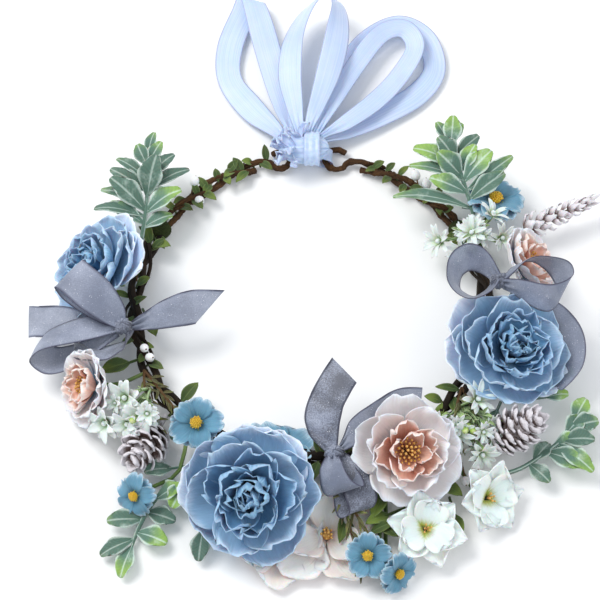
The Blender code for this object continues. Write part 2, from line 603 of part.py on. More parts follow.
def star_shape(centre, size, points=5):
    """A small pointed flower: a star outline, closed above and below."""
    rings = []
    for lift, share in ((-0.7, 0.7), (0.5, 1.0)):
        ring = []
        for i in range(2 * points):
            turn = math.pi * i / points
            reach = size * share * (1.0 if i % 2 == 0 else 0.42)
            ring.append(Vector(centre) + Vector((reach * math.cos(turn), reach * math.sin(turn), lift)))
        rings.append(ring)
    return loft(rings)


def star_spray(name, base, stems):
    """Branching green stems, each ending in a small pointed flower."""
    shapes = []
    for tip, size in stems:
        tip = Vector(tip)
        shapes.append(tube_shape(((0, 0, 0), tip * 0.5 + Vector((0, 0, 0.6)), tip), (0.9, 0.7, 0.6), 5))
        shapes.append(star_shape(tip, size))
    return merged(name, shapes, SPRAY, base)


star_spray("left_white_spray", (-82, -54, 15), (((-11, -14, 9), 7), ((-20, -22, 2), 7), ((-2, -16, 7), 6)))
star_spray("top_right_white_spray", (90, 37, 12), (((-12, 3, 9), 6), ((-4, -9, 12), 6), ((9, -5, 12), 6)))
star_spray("right_white_spray", (76, -63, 12), (((-3, 2, 9), 6), ((6, -8, 14), 6), ((10, -26, 6), 7)))


# ---------------------------------------------------------------- hanging everything on the ring

# The places above are laid out on a ring of this radius, back height and front height
LAYOUT = (93.0, 3.7, 12.0)


def follow_ring(label, angle=None):
    """Moves the pieces of one label with the vine beside them, outward and up, when the ring's sizes change."""
    pieces = [piece for piece in bpy.data.objects if piece.name.startswith(label)]
    if angle is None:
        x, y, _ = pieces[0].location
        angle = math.degrees(math.atan2(y, x))
    radius, back, front = LAYOUT
    turn = math.radians(angle)
    share = (1 - math.sin(turn)) / 2
    wider = RING_RADIUS - radius
    higher = (BACK_HEIGHT - back) * (1 - share) + (FRONT_HEIGHT - front) * share
    for piece in pieces:
        piece.location += mm((wider * math.cos(turn), wider * math.sin(turn), higher))


for label in ("front_peony", "right_peony", "left_peony", "front_camellia", "left_camellia", "right_camellia",
              "blush_magnolia", "inner_lily", "outer_lily", "left_daisy", "low_left_daisy", "front_daisy",
              "low_right_daisy", "top_right_daisy", "left_pine_cone", "right_pine_cone", "left_organza",
              "front_organza", "right_organza", "top_left_sprig", "top_right_sprig", "lower_right_sprig",
              "lower_left_sprig", "heather_twig", "rosemary_twig", "left_white_spray", "top_right_white_spray",
              "right_white_spray"):
    follow_ring(label)
follow_ring("satin", 90)
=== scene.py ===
# %% [markdown]
# # A flower crown, made piece by piece
# This lesson builds the looks of a flower crown: a twisted vine ring, cloth flowers, leaf sprigs,
# pine cones, sheer ribbons and a satin bow. The imported CAD model is loaded first, as a fixed frame.
# Each real piece then gets a detailed mesh that stands for its plain CAD solid. The frame's box is
# kept, and the finished looks are made to fit it.

# %% Load the frame
import json
import math

import bpy
import numpy as np
from mathutils import Matrix, Vector

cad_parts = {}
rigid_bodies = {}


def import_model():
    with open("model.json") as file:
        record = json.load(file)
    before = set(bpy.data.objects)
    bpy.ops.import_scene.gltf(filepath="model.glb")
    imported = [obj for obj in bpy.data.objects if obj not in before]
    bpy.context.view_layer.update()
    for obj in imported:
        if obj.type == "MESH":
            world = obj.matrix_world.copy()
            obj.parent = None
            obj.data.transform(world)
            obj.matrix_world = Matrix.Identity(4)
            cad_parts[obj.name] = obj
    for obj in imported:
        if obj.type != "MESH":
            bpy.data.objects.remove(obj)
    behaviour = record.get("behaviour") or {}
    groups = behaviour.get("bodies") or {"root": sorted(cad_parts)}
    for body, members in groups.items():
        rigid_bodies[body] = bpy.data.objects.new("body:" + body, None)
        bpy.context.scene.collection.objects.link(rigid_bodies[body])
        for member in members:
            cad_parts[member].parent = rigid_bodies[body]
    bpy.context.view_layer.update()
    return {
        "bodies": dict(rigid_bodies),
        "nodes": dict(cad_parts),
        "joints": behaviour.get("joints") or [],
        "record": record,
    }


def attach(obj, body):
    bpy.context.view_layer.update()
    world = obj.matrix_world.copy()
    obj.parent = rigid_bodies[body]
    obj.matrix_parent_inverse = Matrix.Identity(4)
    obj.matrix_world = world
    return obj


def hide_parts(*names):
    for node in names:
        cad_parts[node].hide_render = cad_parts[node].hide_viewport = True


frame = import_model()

MM = 0.001

# %% [markdown]
# ## Camera
# A product picture of a crown is taken from above its front edge, so the camera stands 61 degrees up
# with a long lens. A long lens keeps the near flowers from looking bigger than the far ones.

# %% Camera
LOOK_AT = Vector((-0.0053, 0.0063, 0.0))
ELEVATION = math.radians(61)
DISTANCE = 1.1
LENS = 123.6

lens_data = bpy.data.cameras.new("camera")
lens_data.lens = LENS
lens_data.sensor_width = 36
camera = bpy.data.objects.new("camera", lens_data)
camera.location = LOOK_AT + Vector((0, -math.cos(ELEVATION), math.sin(ELEVATION))) * DISTANCE
camera.rotation_euler = (math.pi / 2 - ELEVATION, 0, 0)
bpy.context.scene.collection.objects.link(camera)
bpy.context.scene.camera = camera
bpy.context.scene.view_settings.view_transform = "Standard"
print("camera:", math.degrees(ELEVATION), "degrees up,", LENS, "mm lens")

# %% [markdown]
# ## Light
# A product table is lit by one big soft window, a weaker one to open the shadows, and a bright room
# all round. Two square area lights and a pale world do the same. Soft light keeps thin cloth from
# looking like plaster.

# %% Light
def window(name, place, size, watts, colour):
    """A square soft light that looks at the crown."""
    light = bpy.data.lights.new(name, "AREA")
    light.size, light.energy, light.color = size, watts, colour
    made = bpy.data.objects.new(name, light)
    made.location = place
    made.rotation_euler = (LOOK_AT - Vector(place)).to_track_quat("-Z", "Y").to_euler()
    bpy.context.scene.collection.objects.link(made)


window("key_window", (-0.7, 0.35, 1.2), 0.7, 13.0, (1.0, 0.99, 0.97))
window("fill_window", (0.9, -0.5, 0.8), 1.0, 3.5, (0.95, 0.97, 1.0))
room = bpy.data.worlds.new("bright_room")
room.use_nodes = True
room.node_tree.nodes["Background"].inputs["Color"].default_value = (0.93, 0.96, 1.0, 1.0)
room.node_tree.nodes["Background"].inputs["Strength"].default_value = 0.72
bpy.context.scene.world = room
print("two windows and a bright room")

# %% [markdown]
# ## Mixing finishes
# A finish is a shader made of nodes. A `Thread` wraps a node's output, so that sums are written as
# sums and each one adds its Math node. Constant values are set straight on the shader, and only what
# changes over the surface is linked to it.

# %% Dyes and threads
def dye(red, green, blue):
    """A colour as the eye names it, turned into the linear values that a shader wants."""
    return tuple(c / 12.92 if c <= 0.04045 else ((c + 0.055) / 1.055) ** 2.4 for c in (red, green, blue))


class Thread:
    """A value on its way between nodes. Arithmetic on it adds the Math node that works it out."""

    def __init__(self, finish, socket):
        self.finish, self.socket = finish, socket

    def maths(self, operation, *values):
        return self.finish.node("Math", {"operation": operation}, dict(enumerate(values)))

    def __add__(self, other):
        return self.maths("ADD", self, other)

    def __sub__(self, other):
        return self.maths("SUBTRACT", self, other)

    def __rsub__(self, other):
        return self.maths("SUBTRACT", other, self)

    def __mul__(self, other):
        return self.maths("MULTIPLY", self, other)


print("a mid grey as a dye:", dye(0.5, 0.5, 0.5))

# %% [markdown]
# ## One material
# A `Finish` holds one material and adds its nodes. Its methods have the names of what they do to the
# look, such as `noise`, `ramp`, `step` or `bump`, so that a finish further down reads as a recipe.

# %% Finish
class Finish:
    """One material. Its constants are set on the shader, and its nodes come from node()."""

    def __init__(self, name, constants):
        self.material = bpy.data.materials.new(name)
        self.material.use_nodes = True
        self.tree = self.material.node_tree
        self.shader = self.tree.nodes["Principled BSDF"]
        for socket, value in constants.items():
            self.shader.inputs[socket].default_value = value

    def plug(self, socket, value):
        if isinstance(value, Thread):
            self.tree.links.new(value.socket, socket)
        elif isinstance(value, tuple) and len(value) == 3 and socket.type == "RGBA":
            socket.default_value = (*value, 1.0)
        else:
            socket.default_value = value

    def node(self, kind, settings, sockets, output=0):
        made = self.tree.nodes.new("ShaderNode" + kind)
        for setting, value in settings.items():
            if setting == "stops":
                ends = made.color_ramp.elements
                for stop, (where, colour) in ((ends[0], value[0]), (ends[1], value[-1])):
                    stop.position, stop.color = where, (*colour, 1.0)
                for where, colour in value[1:-1]:
                    ends.new(where).color = (*colour, 1.0)
            else:
                setattr(made, setting, value)
        for socket, value in sockets.items():
            self.plug(made.inputs[socket], value)
        return Thread(self, made.outputs[output])

    def mix(self, factor, first, second, blend="MIX"):
        """Two colours mixed by a factor, as the Mix node does it."""
        return self.node("Mix", {"data_type": "RGBA", "blend_type": blend}, {0: factor, 6: first, 7: second}, 2)

    def ramp(self, value, *stops):
        return self.node("ValToRGB", {"stops": stops}, {0: value})

    def step(self, value, low, high):
        """0 below low, 1 above high, and smooth between them."""
        return self.node("MapRange", {"interpolation_type": "SMOOTHSTEP"}, {0: value, 1: low, 2: high})

    def lay(self):
        """(along, across, tone) of the cloth at this spot, as each mesh stores it."""
        made = self.node("Attribute", {"attribute_name": "lay"}, {}, 1)
        return [self.node("SeparateXYZ", {}, {0: made}, i) for i in range(3)]

    def place(self):
        return self.node("TexCoord", {}, {}, 3)

    def noise(self, where, scale, detail=3.0, rough=0.5):
        return self.node("TexNoise", {}, {"Vector": where, "Scale": scale, "Detail": detail, "Roughness": rough})

    def stretched(self, x, y, z):
        return self.node("CombineXYZ", {}, {0: x, 1: y, 2: z})

    def bump(self, height, depth, strength=1.0):
        """A fine relief whose height runs from 0 to depth, in metres."""
        bumped = self.node("Bump", {}, {"Height": height, "Distance": depth, "Strength": strength})
        self.plug(self.shader.inputs["Normal"], bumped)

    def colour(self, value):
        self.plug(self.shader.inputs["Base Color"], value)

    def rough(self, value):
        self.plug(self.shader.inputs["Roughness"], value)

    def size_of(self, value):
        """The value without its sign."""
        return self.node("Math", {"operation": "ABSOLUTE"}, {0: value})

    def larger(self, first, second):
        return self.node("Math", {"operation": "MAXIMUM"}, {0: first, 1: second})

    def shaded(self, ground, shade):
        """A colour made darker or lighter by a grey that is 1 where nothing changes."""
        self.colour(self.mix(1.0, ground, self.stretched(shade, shade, shade), "MULTIPLY"))

# %% [markdown]
# ## Table
# The crown lies on a pale table that is nearly white, as in a shop's picture. One big square is
# enough. Its grain is so faint that only the soft shadow of the crown shows on it.

# %% Table
TABLE_HALF = 3.0


def make_table():
    finish = Finish("pale_table", {"Specular IOR Level": 0.1})
    grain = finish.noise(finish.place(), 40.0)
    finish.colour(finish.mix(grain, dye(0.975, 0.975, 0.975), dye(0.985, 0.985, 0.985)))
    finish.rough(grain * 0.1 + 0.8)
    corners = [(x * TABLE_HALF, y * TABLE_HALF, 0) for x, y in ((-1, -1), (1, -1), (1, 1), (-1, 1))]
    mesh = bpy.data.meshes.new("table")
    mesh.from_pydata(corners, [], [(0, 1, 2, 3)])
    mesh.materials.append(finish.material)
    made = bpy.data.objects.new("table", mesh)
    bpy.context.scene.collection.objects.link(made)


make_table()
print("table:", 2 * TABLE_HALF, "m across")

# %% [markdown]
# ## Cutting patterns
# Every piece of this crown is a thin bent sheet, a rod or a bead, so all of them start as a grid of
# points. A `Pattern` collects grids into one mesh. It also stores, at each point, how far along the
# grid it is, how far across, and one tone for the whole petal or leaf. The finishes read these to
# tint a rim or run a vein, which needs no picture and no unwrapping.

# %% Curves and frames
def smooth(points, share):
    """Points on one smooth curve through the given rows, at shares from 0 to 1."""
    rows = np.asarray(points, float)
    spot = np.clip(share, 0, 1) * (len(rows) - 1)
    low = np.minimum(spot.astype(int), len(rows) - 2)
    t = (spot - low)[..., None]
    before, first = rows[np.maximum(low - 1, 0)], rows[low]
    second, after = rows[low + 1], rows[np.minimum(low + 2, len(rows) - 1)]
    lean, fall = (second - before) / 2, (after - first) / 2
    return (first * (2 * t**3 - 3 * t**2 + 1) + lean * (t**3 - 2 * t**2 + t)
            + second * (3 * t**2 - 2 * t**3) + fall * (t**3 - t**2))


def facing(base, direction, spin=0.0):
    """The frame of a flower that sits at base and looks along direction."""
    turn = Vector(direction).normalized().to_track_quat("Z", "Y").to_matrix().to_4x4()
    return np.array(Matrix.Translation(Vector(base)) @ turn @ Matrix.Rotation(math.radians(spin), 4, "Z"))


def growing(base, direction, up=(0, 0, 1)):
    """The frame of a leaf that grows from base along direction, with its face towards up."""
    along = Vector(direction).normalized()
    side = Vector(up).cross(along).normalized()
    turn = Matrix((along, side, along.cross(side))).transposed().to_4x4()
    return np.array(Matrix.Translation(Vector(base)) @ turn)


def carried(grid, frame):
    return grid @ frame[:3, :3].T + frame[:3, 3]

# %% [markdown]
# ## From a pattern to a piece
# A petal, a leaf and a ribbon are thinner than a millimetre, so their grids are thickened by a
# Solidify modifier. The same call names the body that the piece rides on and the CAD solids that it
# stands for, so that neither is forgotten.

# %% Pattern
class Pattern:
    """Grids of points in millimetres that become one mesh."""

    def __init__(self):
        self.points, self.quads, self.lay, self.count = [], [], [], 0

    def add(self, grid, tone=0.5, closed=False):
        rows, columns = grid.shape[:2]
        index = self.count + np.arange(rows * columns).reshape(rows, columns)
        if closed:
            index = np.concatenate([index, index[:, :1]], axis=1)
        quads = np.stack([index[:-1, :-1], index[:-1, 1:], index[1:, 1:], index[1:, :-1]], -1)
        along = np.broadcast_to(np.linspace(0, 1, rows)[:, None], (rows, columns))
        across = np.broadcast_to(np.linspace(-1, 1, columns)[None, :], (rows, columns))
        self.points.append(grid.reshape(-1, 3))
        self.quads.append(quads.reshape(-1, 4))
        self.lay.append(np.stack([along, across, np.full((rows, columns), tone)], -1).reshape(-1, 3))
        self.count += rows * columns
        return self

    def piece(self, name, finish, body, nodes=(), slot=None, thick=0.0):
        """The finished piece, riding on its body and standing for its CAD nodes."""
        mesh = bpy.data.meshes.new(name)
        mesh.from_pydata(np.concatenate(self.points) * MM, [], np.concatenate(self.quads).tolist())
        lay = mesh.attributes.new("lay", "FLOAT_VECTOR", "POINT")
        lay.data.foreach_set("vector", np.concatenate(self.lay).astype(np.float32).ravel())
        mesh.materials.append(finish.material)
        mesh.shade_smooth()
        made = bpy.data.objects.new(name, mesh)
        bpy.context.scene.collection.objects.link(made)
        if thick:
            skin = made.modifiers.new("thickness", "SOLIDIFY")
            skin.thickness, skin.offset, skin.use_even_offset = thick * MM, 0.0, False
        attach(made, body)
        if nodes:
            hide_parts(*nodes)
        return made


def dice_of(label):
    """A source of chance that gives the same piece on every run."""
    return np.random.default_rng(sum(i * ord(letter) for i, letter in enumerate(label, 3)))

# %% [markdown]
# ## Rods and beads
# Stems, wires, vines and stamens are rods along a smooth curve. Berries, buds and knots are beads.
# Both are grids that close round their side, so they go into a pattern like any petal.

# %% Rods and beads
TIP = 0.02  # how much of a rod's radius is left at its blunt tips


def rod(points, radii, sides=8, rows=None, ripple=None):
    """A round stem, wire or strand along a smooth curve, closed to a blunt tip at both ends."""
    rows = rows or 4 * len(points)
    share = np.linspace(0, 1, rows)
    path = smooth(points, share)
    thick = smooth(np.reshape(radii, (-1, 1)), share)[:, 0] if np.ndim(radii) else np.full(rows, radii)
    along = np.gradient(path, axis=0)
    along /= np.linalg.norm(along, axis=1)[:, None]
    side = np.zeros_like(path)
    last = np.cross(along[0], (0.31, 0.27, 0.91))
    for i, way in enumerate(along):
        last = last - way * last.dot(way)
        last /= np.linalg.norm(last)
        side[i] = last
    other = np.cross(along, side)
    turn = np.linspace(0, 2 * math.pi, sides, endpoint=False)[None, :]
    reach = thick[:, None] * np.ones_like(turn)
    if ripple is not None:
        reach = reach * ripple(share[:, None], turn)
    ring = side[:, None] * (np.cos(turn) * reach)[..., None] + other[:, None] * (np.sin(turn) * reach)[..., None]
    middle = path[:, None]
    body = middle + ring
    first, last = (middle[end] + (body[end] - middle[end]) * TIP for end in (slice(0, 1), slice(-1, None)))
    return np.concatenate([first, body, last])


def bead(centre, half, rows=9, columns=12, dent=None):
    """A round bead, bud or berry with its poles along local Z."""
    fall = np.linspace(0.02, math.pi - 0.02, rows)[:, None]
    turn = np.linspace(0, 2 * math.pi, columns, endpoint=False)[None, :]
    reach = np.ones((rows, columns)) if dent is None else dent(fall, turn)
    x, y = np.sin(fall) * np.cos(turn) * reach, np.sin(fall) * np.sin(turn) * reach
    z = -np.cos(fall) * np.ones_like(turn) * reach
    return np.stack([x, y, z], -1) * np.asarray(half, float) + np.asarray(centre, float)

# %% [markdown]
# ## One petal
# A cloth petal is die-cut, then pressed over a warm ball so that it cups, and its rim is pulled
# between finger and thumb so that it ruffles. The function does the same: an outline, a curve out
# from the flower's axis, a cup across, and waves that grow towards the rim. Leaves, lily petals and
# cone scales are the same shape with other numbers, so all of them come from here.

# %% Petal maker
def petal(profile, width, turn=0.0, cup=0.6, arc=0.22, narrow=0.3, taper=0.25, fullest=0.62, notch=0.0,
          ruffle=0.0, waves=3.0, crease=0.0, dice=None, rows=12, columns=13):
    """A petal as a grid: profile is (reach, rise) from the axis outward, width its half width."""
    u = np.linspace(0, 1, rows)[:, None] * np.ones((1, columns))
    v = np.linspace(-1, 1, columns)[None, :] * np.ones((rows, 1))
    shorter = 1 - arc * np.abs(v) ** 2.4 * u - notch * np.exp(-(v / 0.2) ** 2) * u**3
    s = u * shorter
    line = smooth(profile, s)
    ahead = smooth(profile, s + 0.02) - smooth(profile, s - 0.02)
    ahead /= np.maximum(np.linalg.norm(ahead, axis=-1, keepdims=True), 1e-9)
    opened = narrow + (1 - narrow) * np.sin(np.minimum(u / fullest, 1) * math.pi / 2) ** 1.3
    closed = 1 - taper * np.maximum((u - fullest) / (1 - fullest), 0) ** 2
    t = v * width * opened * closed
    k = max(cup, 0.01) / width
    lateral = np.sin(k * t) / k
    lift = (1 - np.cos(k * t)) / k
    if dice is not None:
        a, b, c, d = dice.uniform(0, 2 * math.pi, 4)
        edge = u**2.2 * (0.3 + 0.7 * np.abs(v))
        lift = lift + ruffle * edge * (np.sin(waves * math.pi * v + a) + 0.5 * np.sin(2.3 * waves * math.pi * v + b))
        lift = lift + crease * u * (np.sin(3.1 * v + 5.0 * u + c) + 0.6 * np.sin(7.0 * v - 6.0 * u + d))
    reach = line[..., 0] - ahead[..., 1] * lift
    rise = line[..., 1] + ahead[..., 0] * lift
    angle = math.radians(turn)
    x = reach * math.cos(angle) - lateral * math.sin(angle)
    y = reach * math.sin(angle) + lateral * math.cos(angle)
    return np.stack([x, y, rise], -1)


def whorl(pattern, frame, dice, count, profile, width, spin=0.0, loose=6.0, sway=0.08, **cut):
    """A ring of petals round a flower's axis, none quite like the next."""
    for i in range(count):
        turn = spin + 360.0 * i / count + dice.uniform(-loose, loose)
        stretch = 1 + dice.uniform(-sway, sway)
        spots = [(reach * stretch, rise * (2 - stretch)) for reach, rise in profile]
        grid = petal(spots, width * (1 + dice.uniform(-sway, sway)), turn, dice=dice, **cut)
        pattern.add(carried(grid, frame), tone=dice.uniform(0, 1))
    return pattern

# %% [markdown]
# ## Dyed cloth, with painted shade and highlight
# The flowers are sprayed polyester, with fine veins pressed in by the iron mould and a slight fibre nap.
# Each petal is darkest where the petals meet and paler at the rim: partly the dye, and partly painted
# shade deep in the flower and painted highlight on the rims. The veins are one noise, stretched along
# the petal. The nap is a very fine noise that only lifts the surface a little, with a soft sheen.

# %% Cloth finish
def petal_cloth(name, throat_dye_and_shade, body, rim, veins=0.35, rim_from=0.86, throat_to=0.42, glow=0.12):
    """Sprayed cloth: the throat's dye and painted shade run out by throat_to,
    and the rim's paler dye and painted highlight begin at rim_from.
    """
    finish = Finish(name, {"Sheen Weight": 0.25, "Sheen Roughness": 0.5, "Specular IOR Level": 0.25,
                           "Subsurface Weight": glow, "Subsurface Scale": 0.003})
    along, across, tone = finish.lay()
    place = finish.place()
    streaks = finish.noise(finish.stretched(along * 1.6, across * 7.0, tone * 40.0), 2.2, 4.0, 0.6)
    cloud = finish.noise(place, 70.0, 2.0)
    spread = along + (streaks - 0.5) * 0.30
    # The throat colour is partly dye and partly painted shade where the petals meet.
    ground = finish.mix(finish.step(spread, 0.05, throat_to), throat_dye_and_shade, body)
    # The paler rim is partly dye and partly painted highlight on the petal edges.
    edge = finish.step(spread + (across * across) * 0.10, rim_from - 0.16, rim_from + 0.14)
    ground = finish.mix(edge, ground, rim)
    shade = (streaks - 0.5) * veins + (cloud - 0.5) * 0.25 + (tone - 0.5) * 0.10 + 1.0
    finish.shaded(ground, shade)
    nap = finish.noise(place, 2600.0, 2.0)
    finish.rough(nap * 0.15 + 0.68)
    finish.bump(streaks * 0.9 + nap * 0.12, 0.00025)
    return finish


# The middle and heart cloths are darker than the outer one: partly dye, and partly painted shade deep in the flower.
BLUE_OUTER = petal_cloth("blue_outer_cloth", dye(0.33, 0.53, 0.68), dye(0.58, 0.73, 0.85), dye(0.74, 0.84, 0.93))
BLUE_MIDDLE = petal_cloth("blue_middle_cloth", dye(0.17, 0.36, 0.51), dye(0.42, 0.61, 0.76), dye(0.63, 0.77, 0.89))
BLUE_HEART = petal_cloth("blue_heart_cloth", dye(0.07, 0.22, 0.37), dye(0.32, 0.52, 0.68), dye(0.58, 0.74, 0.86), 0.5)
PALE_BLUE = petal_cloth("pale_blue_cloth", dye(0.56, 0.70, 0.83), dye(0.79, 0.87, 0.96), dye(0.92, 0.95, 1.0), 0.2)
GREEN_SEPAL = petal_cloth("sepal_cloth", dye(0.16, 0.22, 0.10), dye(0.32, 0.42, 0.20), dye(0.55, 0.64, 0.38))
print("cloth finishes:", BLUE_OUTER.material.name, BLUE_MIDDLE.material.name, BLUE_HEART.material.name)

# %% [markdown]
# ## Blue peonies
# A peony is many petals: broad pale ones round the outside, cupped darker ones inside them, and a
# crumpled heart; the inner petals' darker cloth is partly dye and partly painted shade. Separate petals
# catch the light in a way that a carved ball never does, so each layer is its own whorl, and a table
# gives the numbers of every whorl in shares of the flower's radius. A few very pale petals stand out
# behind. A calyx and a wrapped stem carry the flower.

# %% Peony maker
PEONY_SIZE = 33.0  # the radius that the rises in the table are given for
PEONY_TIERS = (
    # layer, petals, root rise, (reach, rise) along the petal, width, spin, loose, sway, cup, ruffle,
    # crease, notch, waves
    (0, 5, -1.0, ((0.06, 0), (0.35, 0.2), (0.70, 3), (0.92, 8), (1.00, 13.5)),
     0.66, 10, 9, 0.1, 0.75, 1.6, 0.8, 0.08, 2.2),
    (0, 5, 0.5, ((0.06, 0), (0.33, 2.0), (0.60, 6), (0.80, 12), (0.88, 18)),
     0.56, 40, 12, 0.12, 0.95, 1.8, 0.9, 0.09, 2.4),
    (1, 5, 1.5, ((0.05, 0), (0.26, 4), (0.47, 10), (0.60, 17), (0.62, 22)),
     0.46, 15, 14, 0.14, 1.15, 2.1, 1.1, 0.12, 2.6),
    (1, 4, 2.0, ((0.05, 0), (0.18, 6), (0.36, 13), (0.46, 19), (0.42, 24)),
     0.42, 50, 18, 0.16, 1.3, 2.3, 1.3, 0.14, 2.2),
    (2, 4, 3.0, ((0.04, 0), (0.14, 8), (0.26, 15), (0.31, 20), (0.25, 24)),
     0.34, 0, 22, 0.16, 1.5, 2.6, 1.7, 0.16, 2.4),
    (2, 5, 5.0, ((0.02, 0), (0.08, 10), (0.16, 16), (0.18, 20), (0.09, 23)),
     0.26, 30, 26, 0.2, 1.7, 2.6, 1.9, 0.18, 2.1),
    (2, 3, 0.0, ((0.01, 9), (0.04, 13), (0.07, 18), (0.02, 21)),
     0.18, 10, 30, 0.2, 1.9, 2.0, 1.5, 0.0, 2.0))


def tiers(table, layers, frame, dice, radius, unit):
    """Every whorl of the table, cut into its layer of the flower."""
    for layer, count, root, profile, width, spin, loose, sway, cup, ruffle, crease, notch, waves in table:
        spots = [(reach * radius, rise * unit) for reach, rise in profile]
        spots[0] = (spots[0][0], spots[0][1] + root)
        whorl(layers[layer], frame, dice, count, spots, width * radius, spin, loose, sway, cup=cup,
              ruffle=ruffle * unit, crease=crease, notch=notch, waves=waves)


def under_flower(label, frame, base, direction, backs, way, radius):
    """The calyx behind a flower, and its wrapped stem, which starts behind the base and goes on along way."""
    dice = dice_of(label + "calyx")
    pattern = Pattern()
    k = radius / PEONY_SIZE
    whorl(pattern, frame, dice, 5, ((1.5, -3.0), (6 * k, -1.6), (12 * k, -0.8), (17 * k, 1.0)), 4.5 * k, cup=0.5,
          taper=0.9, crease=0.2)
    axis = Vector(direction).normalized()
    stem = [tuple(Vector(base) + axis * back) for back in backs] + list(way)
    pattern.add(rod(stem, 0.9, rows=10), 0.1, closed=True)
    pattern.piece(label + "_calyx", GREEN_SEPAL, "front", slot="floral_tape", thick=0.35)


def peony(label, base, direction, radius, way, pale_petals):
    """A peony, with pale petals given as (azimuth, reach, half width)."""
    frame = facing(base, direction)
    dice = dice_of(label)
    r, k = radius, radius / PEONY_SIZE
    outer, middle, heart, pale = Pattern(), Pattern(), Pattern(), Pattern()
    tiers(PEONY_TIERS, (outer, middle, heart), frame, dice, r, k)
    ahead = math.degrees(math.atan2(frame[1, 0], frame[0, 0]))
    for azimuth, reach, wide in pale_petals:
        spots = ((0.08 * r, -2.2), (0.45 * reach, -1.2 * k), (0.8 * reach, 3 * k), (reach, 8.5 * k))
        grid = petal(spots, wide, azimuth - ahead, cup=0.6, ruffle=1.3 * k, crease=0.8, notch=0.06, dice=dice)
        pale.add(carried(grid, frame), dice.uniform(0.4, 1))
    pale.piece(label + "_pale_petals", PALE_BLUE, "front", slot="blue_outer_cloth", thick=0.35)
    outer.piece(label + "_rim", BLUE_OUTER, "front", [label + "_outer_petals"], "blue_outer_cloth", 0.35)
    middle.piece(label + "_cups", BLUE_MIDDLE, "front", [label + "_middle_petals"], "blue_middle_cloth", 0.35)
    heart.piece(label + "_crumpled_heart", BLUE_HEART, "front", [label + "_heart"], "blue_heart_cloth", 0.35)
    under_flower(label, frame, base, direction, (-1.6, -5.0), way, radius)


peony("front_peony", (-30, -114, 18), (-0.05, -0.46, 0.88), 33.0, ((-28, -104, 8.5), (-26, -97.5, 9)),
      ((168, 36, 18), (82, 35, 20), (50, 36, 18)))
peony("right_peony", (101, -36, 19), (0.26, -0.20, 0.92), 29.7, ((97.5, -34, 9.5), (94.5, -33, 9.5)),
      ((150, 37, 17), (192, 36, 18), (-20, 33, 17)))
peony("left_peony", (-108, 12, 18), (-0.62, 0.02, 0.78), 27.0, ((-101, 11, 9), (-98.6, 11, 8.4)),
      ((48, 33, 15), (-2, 34, 16), (20, 27, 14)))
print("three peonies, each of", sum(tier[1] for tier in PEONY_TIERS), "petals and 3 pale ones")

# %% [markdown]
# ## Pink camellias
# A camellia opens flat: wide cream petals, an inner cup of folded peach ones, and a tuft of gold
# stamens. The cream petals are sprayed blue near their base. The stamens are real threads with a
# bead of pollen on each, because a cone with a bumpy shader would give itself away at its outline.
# They are laid out by the golden angle, the way a real flower packs its florets.

# %% Camellia maker
GOLDEN_ANGLE = 2.39996
CAMELLIA_SIZE = 25.0
CAMELLIA_TIERS = (
    (0, 5, -1.0, ((0.07, 0), (0.36, 0.3), (0.72, 2.6), (0.94, 6.5), (1.08, 9.0)),
     0.66, 10, 12, 0.12, 0.7, 1.2, 0.9, 0.10, 3),
    (0, 5, 0.8, ((0.07, 0), (0.34, 2.6), (0.62, 6.0), (0.80, 11), (0.90, 14.5)),
     0.56, 44, 14, 0.14, 0.9, 1.4, 1.0, 0.09, 3),
    (1, 5, 1.6, ((0.06, 0), (0.26, 4.0), (0.48, 9.0), (0.60, 14), (0.62, 18)),
     0.42, 20, 16, 0.16, 1.2, 1.5, 1.2, 0.12, 3),
    (1, 4, 2.4, ((0.05, 0), (0.18, 6.0), (0.34, 11), (0.42, 15), (0.38, 19)),
     0.27, 60, 12, 0.08, 1.4, 1.1, 0.9, 0.0, 2))
STAMENS = 34
CREAM = petal_cloth("cream_cloth", dye(0.30, 0.52, 0.66), dye(0.93, 0.90, 0.90), dye(0.94, 0.95, 0.98), 0.14, 0.90,
                    0.55)
PINK = petal_cloth("pink_cloth", dye(0.80, 0.47, 0.34), dye(0.94, 0.76, 0.69), dye(0.97, 0.91, 0.89), 0.22, 0.84,
                   0.62)
STAMEN = petal_cloth("stamen", dye(0.78, 0.50, 0.20), dye(0.86, 0.62, 0.28), dye(0.95, 0.78, 0.45), 0.2)


def tuft(pattern, frame, dice, count, reach, rise, bead_size):
    """Threads that fan out from the middle of a flower, each with its bead of pollen."""
    for i in range(count):
        turn = i * GOLDEN_ANGLE
        out = reach * math.sqrt((i + 0.5) / count)
        height = rise * (1 - 0.25 * (out / reach) ** 2) * dice.uniform(0.88, 1.08)
        tip = np.array((out * math.cos(turn), out * math.sin(turn), height))
        middle = tip * (0.45, 0.45, 0.6)
        pattern.add(carried(rod(((0, 0, 1.0), middle, tip), 0.22, 4, 5), frame), 0.2, closed=True)
        pattern.add(carried(bead(tip, bead_size * dice.uniform(0.8, 1.2), 5, 6), frame), 0.9, closed=True)
    return pattern


def camellia(label, base, direction, radius, way):
    frame = facing(base, direction)
    dice = dice_of(label)
    r, k = radius, radius / CAMELLIA_SIZE
    outer, inner, stamens = Pattern(), Pattern(), Pattern()
    tiers(CAMELLIA_TIERS, (outer, inner), frame, dice, r, k)
    tuft(stamens, frame, dice, STAMENS, 0.27 * r, 15.0 * k, 0.75 * k)
    outer.piece(label + "_wide_petals", CREAM, "front", [label + "_outer_petals"], "cream_cloth", 0.3)
    inner.piece(label + "_folded_petals", PINK, "front", [label + "_inner_petals"], "pink_cloth", 0.3)
    stamens.piece(label + "_pollen", STAMEN, "front", [label + "_stamens"], "stamen")
    under_flower(label, frame, base, direction, (-1.6, -4.0), way, radius)


